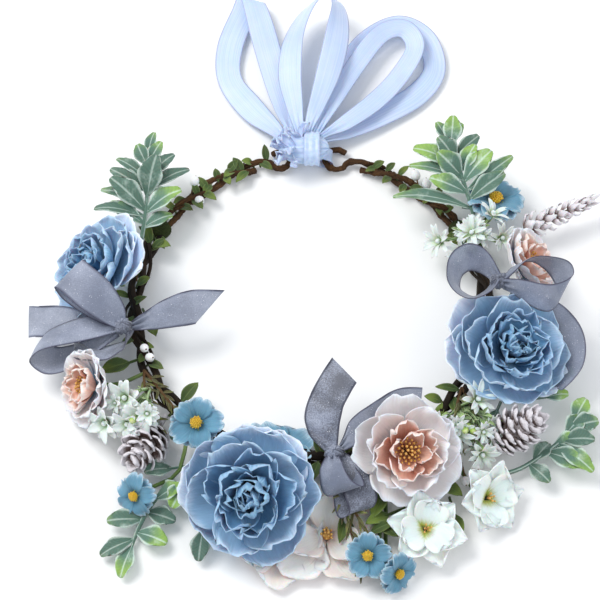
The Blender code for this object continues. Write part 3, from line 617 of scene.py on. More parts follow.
camellia("front_camellia", (47, -92, 21), (0.16, -0.42, 0.88), 25.0, ((45.8, -89, 16.4), (45, -88, 14)))
camellia("left_camellia", (-110, -54, 19), (-0.78, -0.30, 0.55), 18.5, ((-98, -49, 11), (-86.5, -43, 10.2)))
camellia("right_camellia", (111, 15, 20), (0.72, 0.10, 0.68), 19.5, ((102, 14, 9.5), (98.8, 13.6, 8.4)))
print("three camellias with", STAMENS, "stamens each")

# %% [markdown]
# ## Teal daisies
# Each daisy is one die-cut star of five heart-shaped lobes with pinked edges, and a yellow centre of
# fuzzy beads on a low dome, packed by the same golden angle. A second star under the first fills the
# gaps between the lobes, and a drooping daisy bends every lobe back.

# %% Daisy maker
DAISY_SIZE = 13.0
TEAL = petal_cloth("teal_cloth", dye(0.20, 0.40, 0.50), dye(0.40, 0.59, 0.69), dye(0.72, 0.83, 0.89), 0.4, 0.9, 0.5)
POLLEN = petal_cloth("yellow_centre", dye(0.80, 0.55, 0.06), dye(0.94, 0.74, 0.12), dye(0.98, 0.86, 0.35), 0.5, 0.9)


def beaded_dome(pattern, frame, dice, radius, rise, lift, count=46):
    """A low dome covered in small beads."""
    pattern.add(carried(bead((0, 0, lift), (radius * 0.86, radius * 0.86, rise * 0.8)), frame), 0.3, closed=True)
    for i in range(count):
        turn, share = i * GOLDEN_ANGLE, (i + 0.5) / count
        out = radius * math.sqrt(share)
        high = lift + rise * math.sqrt(max(0.0, 1 - share * 0.92))
        spot = (out * math.cos(turn), out * math.sin(turn), high)
        pattern.add(carried(bead(spot, radius * 0.15 * dice.uniform(0.8, 1.25), 5, 6), frame),
                    dice.uniform(0, 1), closed=True)


def daisy(label, base, direction, radius, way, spin, whole=False, droop=0.0):
    """A daisy. A whole one stands for a single CAD solid, the others for petals and a centre."""
    frame = facing(base, direction, spin)
    dice = dice_of(label)
    r, k = radius, radius / DAISY_SIZE
    star, middle = Pattern(), Pattern()
    whorl(star, frame, dice, 5, ((0.10 * r, -0.4), (0.42 * r, 0.7 * k), (0.78 * r, 1.8 * k - droop * 0.4),
                                 (1.06 * r, 1.4 * k - droop)), 0.46 * r, 0, 5, cup=0.55, arc=0.20, notch=0.16,
          ruffle=0.8 * k, crease=0.25, waves=3.4)
    whorl(star, frame, dice, 5, ((0.10 * r, -1.2), (0.42 * r, -0.8 * k), (0.74 * r, 0.2 * k - droop * 0.4),
                                 (0.98 * r, 0.6 * k - droop)), 0.40 * r, 36, 5, cup=0.5, arc=0.20, notch=0.14,
          ruffle=0.7 * k, crease=0.2, waves=3.0)
    beaded_dome(middle, frame, dice, 3.1 * k, 2.6 * k, 1.1 * k)
    body = label if whole else label + "_petals"
    star.piece(label + "_star", TEAL, "front", [body], "teal_cloth", 0.3)
    middle.piece(label + "_pollen_beads", POLLEN, "front", [] if whole else [label + "_centre"], "yellow_centre")
    under_flower(label, frame, base, direction, (-1.0, -4.0), way, radius * 0.55)


daisy("left_daisy", (-57, -81, 31), (-0.12, -0.40, 0.90), 13.0, ((-59, -75, 22), (-61, -72, 17.5)), 15)
daisy("low_left_daisy", (-88, -113, 13.5), (-0.45, -0.60, 0.62), 10.6,
      ((-78, -106, 10), (-67, -98, 8), (-63, -79, 8)), 40, droop=3.5)
daisy("front_daisy", (28, -146, 16), (-0.05, -0.50, 0.86), 11.0, ((32, -139, 9), (35, -128, 7), (34, -108, 7.5)), 20)
daisy("low_right_daisy", (43, -153, 10.2), (0.55, -0.60, 0.45), 10.6,
      ((37.5, -141, 3.5), (38, -112, 3.5), (36, -95, 6)), 0, True, 2.0)
daisy("top_right_daisy", (100, 59, 16), (0.10, 0.30, 0.90), 16.0, ((96, 53, 7), (89, 47.5, 6)), 30, True, 2.0)
print("five daisies")

# %% [markdown]
# ## White lilies and the blush magnolia
# These lie low under the others. A lily has three whorls of three pointed petals round a
# yellow-green throat. The magnolia is two broad blush flowers that peep out from under the front
# peony. Its petals are thin enough to glow, so their cloth scatters more light inside.

# %% Lilies and magnolia
LILY_SIZE = 18.0
LILY = petal_cloth("lily_cloth", dye(0.72, 0.74, 0.30), dye(0.95, 0.96, 0.94), dye(0.99, 0.99, 0.99), 0.10, 0.9, 0.30,
                   glow=0.3)
BLUSH = petal_cloth("blush_cloth", dye(0.88, 0.77, 0.73), dye(0.97, 0.91, 0.89), dye(0.99, 0.96, 0.95), 0.10, 0.92,
                    0.5, glow=0.35)


def lily(label, base, direction, radius, way, spin):
    frame = facing(base, direction, spin)
    dice = dice_of(label)
    r, k = radius, radius / LILY_SIZE
    bell, threads = Pattern(), Pattern()
    for turn, lift, share in ((0, 0.0, 1.12), (60, 0.9, 1.10), (30, 2.0, 0.78)):
        whorl(bell, frame, dice, 3, ((0.06 * r, -1.5 + lift), (0.34 * r, 2.6 * k + lift), (0.72 * r, 5.4 * k + lift),
                                     (share * r, 6.6 * k + lift)), 0.52 * r, turn, 8, cup=0.75, arc=0.16, narrow=0.4,
              taper=0.80, fullest=0.55, ruffle=1.0 * k, crease=0.6)
    tuft(threads, frame, dice, 6, 2.6 * k, 8.0 * k, 0.6 * k)
    bell.piece(label + "_bell", LILY, "front", [label], "white_cloth", 0.3)
    threads.piece(label + "_threads", STAMEN, "front", slot="stamen")
    under_flower(label, frame, base, direction, (0,), way, radius * 0.6)


lily("inner_lily", (57, -129, 8), (0.10, -0.30, 0.95), 18.0, ((57, -128, 5.6), (56, -124, 4), (52, -106, 4.5)), 30)
lily("outer_lily", (88, -112, 8), (0.46, -0.36, 0.80), 17.0, ((84.6, -109, 4), (76, -94, 4), (66, -78, 6.5)), 80)

magnolia = Pattern()
magnolia_frame = facing((8, -131, 4.3), (0.05, -0.12, 1.0))
magnolia_dice = dice_of("magnolia")
whorl(magnolia, magnolia_frame, magnolia_dice, 4, ((1.8, -0.8), (9, 0.2), (18, 1.6), (25, 3.4), (29.5, 4.4)), 15.0, 20,
      8, cup=0.5, arc=0.30, ruffle=0.9, crease=0.7, taper=0.5)
whorl(magnolia, magnolia_frame, magnolia_dice, 3, ((1.8, 0.5), (7, 2.4), (14, 5.0), (20, 8.0)), 11.0, 65, 8, cup=0.7,
      arc=0.30, ruffle=0.9, crease=0.6, taper=0.5)
low_frame = facing((-13, -136, 3.4), (0.0, -0.06, 1.0))
whorl(magnolia, low_frame, magnolia_dice, 5, ((1.8, -0.8), (9, 0.1), (17, 1.2), (24, 3.4)), 14.0, 262, 5, 0.04,
      cup=0.5, arc=0.32, ruffle=0.8, crease=0.6, taper=0.5)
magnolia_threads = tuft(Pattern(), magnolia_frame, magnolia_dice, 12, 3.2, 5.5, 0.7)
magnolia_threads.add(carried(bead((0, 0, 1.4), (2.3, 2.3, 1.8)), magnolia_frame), 0.4, closed=True)
magnolia_threads.piece("magnolia_threads", STAMEN, "front", slot="stamen")
magnolia.piece("magnolia_petals", BLUSH, "front", ["blush_magnolia"], "blush_cloth", 0.3)
under_flower("magnolia", magnolia_frame, (8, -131, 2.4), (0, 0, 1), (0,), ((8, -127, 1.8), (7, -108, 2.6),
                                                                         (6, -99, 6.5)), 18.0)
print("two lilies and two magnolia flowers")

# %% [markdown]
# ## Pine cones
# The small cones are real wood with snow spray on the tips. Their scales follow the golden angle up
# the core, each one a thick spoon that flares, so light and shadow sort themselves out.

# %% Pine cones
def frosted_wood():
    finish = Finish("frosted_cone", {"Specular IOR Level": 0.3})
    along, across, tone = finish.lay()
    place = finish.place()
    fibre = finish.noise(finish.stretched(along * 3.0, across * 9.0, tone * 30.0), 3.0, 4.0)
    wood = finish.ramp(fibre, (0.2, dye(0.24, 0.17, 0.14)), (0.5, dye(0.44, 0.35, 0.32)), (0.8, dye(0.66, 0.59, 0.57)))
    drift = finish.noise(place, 900.0, 3.0)
    snow = finish.step(along + (drift - 0.5) * 0.5 + (across * across) * 0.16, 0.36, 0.82)
    finish.colour(finish.mix(snow, wood, dye(0.97, 0.95, 0.97)))
    finish.rough(snow * 0.15 + 0.7)
    finish.bump(fibre + snow * drift * 1.5, 0.0004)
    return finish


FROSTED = frosted_wood()


CONE_SCALES = 38


def pine_cone(label, centre, direction, radius, length, stem):
    frame = facing(centre, direction)
    dice = dice_of(label)
    cone = Pattern()
    cone.add(carried(bead((0, 0, 0), (radius * 0.42, radius * 0.42, length * 0.46)), frame), 0.5, closed=True)
    for i in range(CONE_SCALES):
        share = (i + 0.5) / CONE_SCALES
        height = length * (share - 0.5) * 0.94
        reach = radius * (math.sin(math.pi * (0.20 + 0.74 * share)) ** 0.75) * dice.uniform(0.94, 1.04)
        lean = 1.4 - 2.3 * share
        rise = (length * 0.17) * (1 - 0.6 * lean * 0.5)
        spots = ((reach * 0.18, -rise * 0.4), (reach * 0.62, -rise * 0.05 - lean * 0.2), (reach * 0.92, rise * 0.42),
                 (reach * 1.0, rise * 0.95))
        grid = petal(spots, radius * (0.50 - 0.20 * share), math.degrees(i * GOLDEN_ANGLE), cup=0.8, arc=0.35,
                     narrow=0.55, taper=0.35, fullest=0.7, ruffle=0.15, crease=0.15, dice=dice, rows=8, columns=7)
        grid[..., 2] += height
        cone.add(carried(grid, frame), tone=dice.uniform(0, 1))
    cone.add(rod(stem, 1.1, rows=10), 0.1, closed=True)
    cone.piece(label + "_scales", FROSTED, "front", [label], "frosted_cone", 0.9)


pine_cone("left_pine_cone", (-84, -86, 14.5), (-0.35, -0.75, 0.35), 12.6, 26.0,
          ((-81, -80, 12), (-77, -72, 9), (-74, -66.5, 9.5)))
pine_cone("right_pine_cone", (104, -79, 18.5), (0.72, 0.22, 0.55), 12.0, 28.0,
          ((102, -79, 10), (99, -73, 4.5), (88, -62, 5.5), (82, -55.5, 7.5)))
print("two cones with", CONE_SCALES, "scales each")

# %% [markdown]
# ## Silvered leaves
# The sprigs are flocked plastic: a grey-green leaf with a pale pressed rim and midrib, and a fresh
# green blush at some of the tips. The same recipe with other dyes makes ivy, needles and stems.

# %% Leaf finish
def leaf_finish(name, body, blush, rim, blush_from=0.62, powder=0.5):
    """A flocked leaf, greener from blush_from to its tip, with powder over its face."""
    finish = Finish(name, {"Specular IOR Level": 0.35, "Sheen Weight": 0.2, "Subsurface Weight": 0.08,
                           "Subsurface Scale": 0.002})
    along, across, tone = finish.lay()
    place = finish.place()
    cloud = finish.noise(place, 160.0, 4.0, 0.6)
    side = finish.size_of(across)
    green = finish.step(along + (cloud - 0.5) * 0.5 + (tone - 0.5) * 0.7, blush_from, blush_from + 0.5)
    ground = finish.mix(green, body, blush)
    ground = finish.mix(finish.step(cloud, 0.5, 0.8) * powder, ground, rim)
    edge = finish.step(side + (cloud - 0.5) * 0.2 + finish.step(along, 0.86, 1.0) * 0.4, 0.74, 0.98)
    rib = 1 - finish.step(side, 0.02, 0.14)
    ribs = finish.node("TexWave", {"wave_type": "BANDS", "bands_direction": "X"}, {
        "Vector": finish.stretched(along + side * -0.35, 0.0, 0.0), "Scale": 3.2, "Distortion": 0.4}, 1)
    pale = finish.larger(edge * 0.85, rib * 0.55)
    shade = (tone - 0.5) * 0.35 + (ribs - 0.5) * 0.10 + 0.98
    finish.shaded(finish.mix(pale, ground, rim), shade)
    finish.rough(cloud * 0.25 + 0.5)
    finish.bump(ribs * 0.3 + cloud * 0.7, 0.0002)
    return finish


SILVER_LEAF = leaf_finish("silver_leaf", dye(0.34, 0.47, 0.41), dye(0.52, 0.66, 0.32), dye(0.80, 0.87, 0.83))
IVY_LEAF = leaf_finish("ivy_leaf", dye(0.24, 0.33, 0.13), dye(0.40, 0.48, 0.18), dye(0.42, 0.50, 0.26), 0.4, 0.25)
print("leaf finishes:", SILVER_LEAF.material.name, IVY_LEAF.material.name)

# %% [markdown]
# ## One leaf
# A leaf is the petal's shape again, longer and narrower. Its midrib is real geometry, a shallow fold
# down the middle, so that the two halves take the light differently. Ivy leaves come to a point, and
# sprig leaves end in a round spoon.

# %% Leaf maker
LEAF_COLUMNS = 9


def leaf(pattern, base, direction, length, width, dice, up=(0, 0, 1), pointed=False):
    """A leaf folded along its midrib: spoon-shaped, or pointed like ivy."""
    arch = length * 0.12
    spots = ((0, 0), (length * 0.33, arch * 0.8), (length * 0.7, arch), (length, arch * 0.3))
    shape = dict(arc=0.05, narrow=0.2, taper=0.95, fullest=0.42) if pointed else dict(
        arc=0.36, narrow=0.13, taper=0.28, fullest=0.70)
    grid = petal(spots, width / 2, cup=0.45, ruffle=width * 0.03, crease=width * 0.02, dice=dice, rows=10,
                 columns=LEAF_COLUMNS, **shape)
    fold = 1 - np.minimum(np.abs(np.linspace(-1, 1, LEAF_COLUMNS)) / 0.35, 1)
    grid[..., 2] -= fold[None, :] * width * 0.05
    pattern.add(carried(grid, growing(base, direction, up)), tone=dice.uniform(0, 1))

# %% [markdown]
# ## Sprigs
# A sprig is a wired stem with leaves in loose pairs. Every leaf is placed one by one, because the eye
# knows a sprig by its outline, which a random fan would lose. Only their tilt is left to chance.

# %% Sprigs
def on_path(path, share):
    return smooth(path, np.array([share]))[0]


def sprig(label, base, stem, leaves, body):
    """A wired stem with its leaves, each leaf given as (share of the stem, direction, length, width)."""
    dice = dice_of(label)
    pattern = Pattern()
    line = [np.array(base) + spot for spot in stem]
    pattern.add(rod(line, [1.0] * (len(line) - 1) + [0.5], rows=24), 0.2, closed=True)
    for share, direction, length, width in leaves:
        spot = on_path(line, share)
        tilt = (0.25 * dice.uniform(-1, 1), 0.25 * dice.uniform(-1, 1), 1)
        leaf(pattern, spot, direction, length, width, dice, tilt)
        joint = [spot, spot + np.array(Vector(direction).normalized()) * length * 0.12]
        pattern.add(rod(joint, 0.55, 6, 4), 0.3, closed=True)
    return pattern.piece(label + "_leaves", SILVER_LEAF, body, [label], "silver_leaf", 0.45)


sprig("top_left_sprig", (-90, 36, 14), ((0, 0, 0), (2, 14, 5), (3, 30, 9), (2, 46, 11)), (
    (0.16, (0.9, 0.3, 0.2), 17, 10), (0.20, (-0.8, 0.5, 0.1), 22, 10), (0.32, (0.9, 0.45, 0.35), 23, 14),
    (0.34, (-0.75, 0.6, 0.35), 26, 14), (0.28, (-1.0, 0.15, 0.0), 28, 9), (0.42, (-1.0, 0.3, 0.05), 26, 8),
    (0.50, (0.25, 0.9, 0.6), 23, 15), (0.56, (-0.9, 0.55, 0.1), 24, 10), (0.58, (0.95, 0.5, 0.05), 25, 9),
    (0.70, (-0.9, 0.6, 0.1), 21, 8), (0.72, (0.8, 0.7, 0.2), 19, 9), (0.84, (-0.45, 0.95, 0.2), 14, 9),
    (0.86, (0.5, 0.9, 0.2), 15, 8), (0.97, (0.25, 1.0, 0.1), 15, 7)), "top_left_spray")
sprig("top_right_sprig", (88, 50, 16), ((0, 0, 0), (-4, 14, 4), (-8, 28, 6), (-13, 42, 8)), (
    (0.10, (-1.0, 0.12, 0.05), 43, 10), (0.20, (0.9, 0.6, 0.3), 24, 12), (0.30, (1.0, 0.75, 0.2), 32, 9),
    (0.28, (-0.9, 0.25, 0.25), 22, 12), (0.42, (0.75, 0.8, 0.3), 23, 14), (0.45, (-0.95, 0.2, 0.1), 30, 9),
    (0.50, (-0.7, 0.5, 0.5), 19, 14), (0.56, (0.5, 0.8, 0.4), 17, 10), (0.65, (-1.0, 0.35, 0.15), 26, 12),
    (0.70, (-0.6, 0.75, 0.35), 17, 12), (0.76, (0.8, 0.7, 0.2), 18, 9), (0.88, (0.1, 1.0, 0.3), 18, 11),
    (0.94, (0.6, 0.9, 0.2), 14, 7), (0.97, (-0.5, 0.9, 0.2), 13, 8)), "top_right_spray")
sprig("lower_right_sprig", (92, -99, 4.6), ((0, 0, 0), (14, 4, 1), (26, 11, 3), (36, 19, 4), (43, 29, 4)), (
    (0.35, (0.6, -0.7, 0.15), 15, 10), (0.40, (0.6, 0.7, 0.0), 13, 10), (0.55, (0.9, -0.45, 0.1), 20, 13),
    (0.62, (0.95, 0.3, 0.0), 16, 12), (0.68, (0.85, -0.8, 0.1), 24, 11), (0.75, (0.9, -0.1, 0.2), 17, 12),
    (0.82, (0.75, 0.8, 0.0), 14, 11), (0.90, (0.95, 0.2, 0.15), 15, 12), (0.98, (0.5, 0.9, 0.1), 15, 11)),
    "lower_right_spray")
sprig("lower_left_sprig", (-72, -104, 5), ((0, 0, 0), (-8, -10, 0), (-14, -22, -1), (-17, -32, -1)), (
    (0.25, (0.7, 0.2, 0.3), 16, 12), (0.45, (0.9, -0.35, 0.1), 16, 11), (0.55, (-0.9, -0.1, 0.1), 18, 11),
    (0.75, (0.9, -0.4, 0.1), 17, 13), (0.85, (-0.9, -0.5, 0.0), 19, 10), (1.0, (-0.3, -1.0, 0.0), 18, 10)), "front")
print("four sprigs made")

# %% [markdown]
# ## Between the flowers
# Single leaves and one teal bloom peep out between the big flowers. Each leaf has a stalk that runs
# back under them, as the real ones are glued on last.

# %% Loose leaves
STALK = 10  # how far a loose leaf's stalk runs back under the flowers


def loose_leaves(label, finish, leaves, pointed=False):
    """Single leaves on a short stalk, each given as (base, direction, length, width)."""
    dice = dice_of(label)
    pattern = Pattern()
    for base, direction, length, width in leaves:
        way = np.array(Vector(direction).normalized())
        leaf(pattern, base, direction, length, width, dice, pointed=pointed)
        pattern.add(rod((base - way * STALK, base, base + way * length * 0.2), 0.6, 6, 6), 0.2, closed=True)
    pattern.piece(label, finish, "front", slot="silver_leaf", thick=0.4)


loose_leaves("right_round_leaves", SILVER_LEAF, (
    ((122, -46, 11), (1, 0.25, 0.1), 15, 12), ((121, -57, 11), (1, 0.1, 0.1), 12, 9),
    ((96, -64, 11), (-0.4, -1, 0.3), 13, 7)))
loose_leaves("low_left_leaves", SILVER_LEAF, (
    ((-62, -103, 8), (-0.5, -1, 0.1), 17, 13), ((-54, -128, 5), (-0.1, -1, 0.0), 17, 11),
    ((-70, -96, 9), (-1, -0.3, 0.3), 15, 10), ((-76, -76, 10), (-0.9, 0.5, 0.3), 13, 9)))
loose_leaves("green_tips", IVY_LEAF, (
    ((-94, -37, 11), (-1, -0.45, 0.1), 16, 9), ((52, -71, 12), (0.1, 1, 0.2), 12, 5),
    ((64, -72, 12), (0.35, 1, 0.2), 11, 5), ((80, -61, 12), (0.2, -1, 0.3), 14, 7),
    ((-66, -60, 12), (0.7, 0.8, 0.2), 13, 7), ((-85, -12, 11), (0.4, -1, 0.4), 14, 8),
    ((64, -104, 10), (0.7, -0.5, 0.1), 15, 8), ((72, -120, 6), (0.2, -1, 0.1), 14, 7),
    ((20, -117, 7), (-0.3, -1, 0.0), 20, 7), ((37, -110, 9), (-0.45, -1, 0.15), 16, 8),
    ((34, -126, 8), (0.8, -0.7, 0.25), 13, 7), ((39, -121, 8), (-0.9, -0.5, 0.25), 14, 7),
    ((30, -131, 9), (0.9, 0.35, 0.2), 13, 6)), pointed=True)
back_dice = dice_of("back petals")
back_bloom = whorl(Pattern(), facing((-19, -88, 10), (0.1, 0.5, 0.85)), back_dice, 5, (
    (1.5, -0.8), (8, 0.4), (16, 2.2), (22, 5.0)), 12.0, 10, 8, cup=0.6, arc=0.28, notch=0.12, ruffle=1.0, crease=0.5)
back_bloom.piece("back_bloom_petals", TEAL, "front", slot="teal_cloth", thick=0.3)
print("the loose leaves and the bloom behind the front peony")

# %% [markdown]
# ## The vine ring
# Two stiff vines are twisted round each other. At the front they carry all the flowers, and at the
# back each arm ends in an eye for the ribbon. The strand follows the same winding as the solid model
# does, so that it still fits its neighbours.

# %% The ring's line
RING_RADIUS, BACK_HEIGHT, FRONT_HEIGHT = 93.0, 3.7, 12.0
STRAND_GAP, TWIST_ANGLE, ARM_STRAND, FRONT_STRAND = 0.4, 34.5, 1.6, 2.0


def ring_point(angle, out=0.0, up=0.0):
    """A point on the ring's middle line, which is lowest at the back, moved outwards and up."""
    turn = math.radians(angle)
    reach = RING_RADIUS + out
    height = BACK_HEIGHT + (FRONT_HEIGHT - BACK_HEIGHT) * (1 - math.sin(turn)) / 2
    return np.array((reach * math.cos(turn), reach * math.sin(turn), height + up))


def strand_points(start, end, strand, phase, step, reach=1.0):
    """A strand that winds round the ring line, opposite its partner when phase differs by 180."""
    offset = (strand * 1.1 + STRAND_GAP) * reach
    count = round(abs(end - start) / step)
    points = []
    for i in range(count + 1):
        turn = 2 * math.pi * (abs(end - start) * i / count) / TWIST_ANGLE + math.radians(phase)
        points.append(ring_point(start + (end - start) * i / count, offset * math.cos(turn), offset * math.sin(turn)))
    return points


def eye_points(x, y, radius, start, sweep):
    """The end of a strand, bent round into an open eye."""
    return [np.array((x + radius * math.cos(t), y + radius * math.sin(t), BACK_HEIGHT))
            for t in (math.radians(start + sweep * i / 8) for i in range(9))]


print("the ring starts at", ring_point(0))

# %% [markdown]
# ## Bark
# Bark is fibre: dark between the ridges, which is painted shade, and pale on top of them, partly by
# wear and partly as painted highlight. One noise, stretched along the strand, gives both the colour
# and the relief, so the two always agree. Floral tape, twigs and the ribbon's edge wires take the same
# recipe with other dyes.

# %% Bark finish
def bark(name, shadow, ridge, worn_and_highlight):
    """Fibres that run along a strand, in three colours from painted shade in the grooves to worn tops with painted
    highlight.
    """
    finish = Finish(name, {"Specular IOR Level": 0.25})
    along, across, tone = finish.lay()
    place = finish.place()
    fibre = finish.noise(finish.stretched(along * 26.0, across * 5.0, tone * 20.0), 1.8, 5.0, 0.65)
    cloud = finish.noise(place, 120.0, 3.0)
    # The ramp paints shade into the grooves, and highlight together with the wear onto the ridges.
    wood = finish.ramp(fibre * 0.7 + cloud * 0.3, (0.30, shadow), (0.52, ridge), (0.72, worn_and_highlight))
    finish.colour(wood)
    finish.rough(fibre * 0.2 + 0.68)
    finish.bump(fibre + cloud * 0.4, 0.0006)
    return finish


VINE = bark("vine", dye(0.10, 0.07, 0.04), dye(0.29, 0.19, 0.10), dye(0.47, 0.33, 0.18))
DARK_VINE = bark("dark_vine", dye(0.05, 0.04, 0.03), dye(0.14, 0.10, 0.06), dye(0.27, 0.20, 0.12))
TAPE = bark("floral_tape", dye(0.10, 0.12, 0.05), dye(0.20, 0.24, 0.10), dye(0.32, 0.34, 0.16))
TWIG = bark("twig", dye(0.22, 0.15, 0.10), dye(0.42, 0.31, 0.20), dye(0.60, 0.50, 0.36))

# %% [markdown]
# ## Strands and tape
# Each strand has knots and ridges in its radius, because an even tube looks like cable. A thin
# tendril winds round outside each pair, and floral tape hides where an arm meets the front.

# %% Strands and tape
def strand(label, points, radius, finish, body, nodes):
    """A strand of vine with knots and ridges in its bark."""
    dice = dice_of(label)
    phases = dice.uniform(0, 6.28, 4)
    ridges = dice.integers(4, 7)

    def ripple(share, turn):
        knots = np.maximum(np.sin(share * 60 + phases[0]) * np.sin(share * 23 + phases[1]), 0.55) - 0.55
        return (1 + 0.10 * np.sin(ridges * turn + 14 * share + phases[2]) + 0.09 * np.sin(share * 47 + 2 * turn)
                + 0.07 * np.sin(share * 131 + phases[3] - turn) + 0.7 * knots)

    line = Pattern().add(rod(points, radius, 12, len(points) * 9, ripple), dice.uniform(0, 1), closed=True)
    line.piece(label + "_bark", finish, body, nodes, "vine")


FRONT_SPAN = (154.3125, 385.6875)  # degrees round the ring, from tape to tape
FRONT_STEP, ARM_STEP = 6.47, 4.0
ARMS = (
    # side, where the arm starts, inside its tape, where strands a and b end, eye (x, y, radius, start, sweep)
    ("left", 145.318, 149, 107.5, 109.0, (-16.5, 92.5, 5.4, 200, 300)),
    ("right", 34.682, 31, 73.5, 72.0, (15, 93, 6.4, -20, -300)))

for tag, phase, out in (("a", 0, 1.6), ("b", 180, -1.6)):
    line = [ring_point(151.0, out)] + strand_points(*FRONT_SPAN, FRONT_STRAND, phase, FRONT_STEP)
    strand("front_vine_" + tag, line + [ring_point(389.0, out)], 2.0, DARK_VINE, "front", ["front_vine_" + tag])
for side, start, hidden, end_a, end_b, eye in ARMS:
    line = [ring_point(hidden, 1.4)] + strand_points(start, end_a, ARM_STRAND, 0, ARM_STEP) + eye_points(*eye)
    strand(side + "_vine_a", line, 1.6, VINE, side + "_arm", [side + "_vine_a"])
    line = [ring_point(hidden, -1.4)] + strand_points(start, end_b, ARM_STRAND, 180, ARM_STEP)
    strand(side + "_vine_b", line, 1.6, VINE, side + "_arm", [side + "_vine_b"])
strand("front_tendril", strand_points(158, 378, 1.2, 90, FRONT_STEP, 2.9), 0.9, DARK_VINE, "front", [])
for side, start, end in (("left", 142, 112), ("right", 38, 70)):
    strand(side + "_tendril", strand_points(start, end, 1.2, 90, ARM_STEP, 2.0), 0.7, VINE, side + "_arm", [])
for side, angle in (("left", 150.0), ("right", 30.0)):
    wrap = bead((0, 0, 0), (5.6, 5.6, 3.7), 33, 20, lambda fall, turn: 1 + 0.035 * np.sin(fall * 18 + turn))
    tape = Pattern().add(carried(wrap, facing(ring_point(angle), (0, 0, 1), angle)), 0.4, closed=True)
    tape.piece(side + "_tape_wrap", TAPE, "front", [side + "_tape"], "floral_tape")
print("vine strands made, with a tendril on the front and each arm")

# %% [markdown]
# ## White sprays, buds and berries
# Small plastic filler flowers poke out between the big ones: spiky white stars on pale green stems,
# lime-green buds, and white berries on short wires. They are what makes a crown look full, so each
# spray gets a few more stems than its plain solid has, fanned at random but from a fixed seed.

# %% Sprays
WHITE_STAR = petal_cloth("white_spray", dye(0.66, 0.78, 0.52), dye(0.93, 0.95, 0.93), dye(0.99, 0.99, 0.99), 0.2,
                         0.85, 0.45, glow=0.2)
FRESH_GREEN = leaf_finish("fresh_green", dye(0.50, 0.62, 0.38), dye(0.66, 0.78, 0.42), dye(0.80, 0.88, 0.70))
LIME_BUD = petal_cloth("lime_bud", dye(0.48, 0.62, 0.22), dye(0.66, 0.78, 0.36), dye(0.86, 0.90, 0.66), 0.3)
PEARL = petal_cloth("pearl_berry", dye(0.80, 0.82, 0.80), dye(0.94, 0.94, 0.95), dye(0.99, 0.99, 0.99), 0.1)


def star_flower(pattern, tip, direction, size, dice, pointed=True):
    frame = facing(tip, direction, dice.uniform(0, 72))
    for spin, high in ((0, 0.0), (36, 0.25)):
        whorl(pattern, frame, dice, 5, ((0.05 * size, -0.2), (0.4 * size, (0.15 + high) * size),
                                        (0.8 * size, (0.35 + high) * size), (1.1 * size, (0.42 + high) * size)),
              size * (0.20 if pointed else 0.34), spin, 8, cup=0.8, arc=0.05 if pointed else 0.3, narrow=0.4,
              taper=0.95 if pointed else 0.4, fullest=0.45, crease=0.1, rows=7, columns=5)
    pattern.add(carried(bead((0, 0, size * 0.3), (size * 0.16,) * 3, 5, 7), frame), 0.1, closed=True)


def spray(label, base, tips, extra, spread=0.55, pointed=True):
    """Branching stems that end in stars, with buds and narrow leaves between them."""
    dice = dice_of(label)
    stars, greens, buds = Pattern(), Pattern(), Pattern()
    base = np.array(base, float)
    mean = np.mean([np.array(tip) for tip, _ in tips], axis=0)
    ends = [(np.array(tip, float), size, "star") for tip, size in tips]
    for i in range(extra):
        swing = mean / np.linalg.norm(mean) + dice.uniform(-spread, spread, 3) * (1, 1, 0.5)
        reach = np.linalg.norm(mean) * dice.uniform(0.8, 1.25)
        ends.append((swing / np.linalg.norm(swing) * reach, dice.uniform(4.2, 6.0), ("star", "bud", "leaf")[i % 3]))
    for tip, size, kind in ends:
        bend = tip * 0.5 + dice.uniform(-1.5, 1.5, 3) + (0, 0, 1.2)
        greens.add(rod((base, base + bend, base + tip), (0.7, 0.55, 0.45), 6, 10), 0.4, closed=True)
        way = tip / np.linalg.norm(tip) + np.array((0, -0.15, 0.5))
        if kind == "star":
            star_flower(stars, base + tip, way, size, dice, pointed)
        elif kind == "bud":
            frame = facing(base + tip, way)
            buds.add(carried(bead((0, 0, 1.4), (1.9, 1.9, 2.4), 8, 10), frame), dice.uniform(0, 1), closed=True)
            whorl(greens, frame, dice, 4, ((0.3, -0.6), (1.4, 0.2), (1.9, 1.6), (1.7, 2.6)), 0.9, cup=0.8, taper=0.9)
        for _ in range(2):
            side = way + dice.uniform(-0.8, 0.8, 3)
            leaf(greens, base + tip * dice.uniform(0.3, 0.8), side, dice.uniform(6, 11), dice.uniform(1.6, 2.8), dice,
                 pointed=True)
    stars.piece(label + "_stars", WHITE_STAR, "front", [label], "white_spray", 0.25)
    greens.piece(label + "_stems", FRESH_GREEN, "front", slot="silver_leaf", thick=0.3)
    buds.piece(label + "_buds", LIME_BUD, "front", slot="silver_leaf")


spray("left_white_spray", (-82, -54, 15), (
    ((-11, -10, 10), 9), ((-21, -20, 3), 9), ((-3, -19, 9), 9), ((-10, -22, 6), 8)), 9, pointed=False)
spray("top_right_white_spray", (90, 37, 12), (
    ((-20, -5, 6), 9), ((-10, -12, 8), 7), ((7, 9, 9), 8), ((11, -5, 9), 8), ((-4, -3, 11), 8)), 15, 0.9)
spray("right_white_spray", (76, -63, 12), (
    ((8, -1, 10), 9), ((-2, -18, 8), 9), ((10, -28, 5), 8), ((16, -20, 4), 7)), 15, 0.8)
print("three sprays of white stars")

# %% [markdown]
# ## Heather and rosemary
# The heather twig is dusted with snow: rings of cupped bracts up a brown stem, smaller towards the
# tip. Rosemary is all needles, and each one is a narrow pointed leaf.

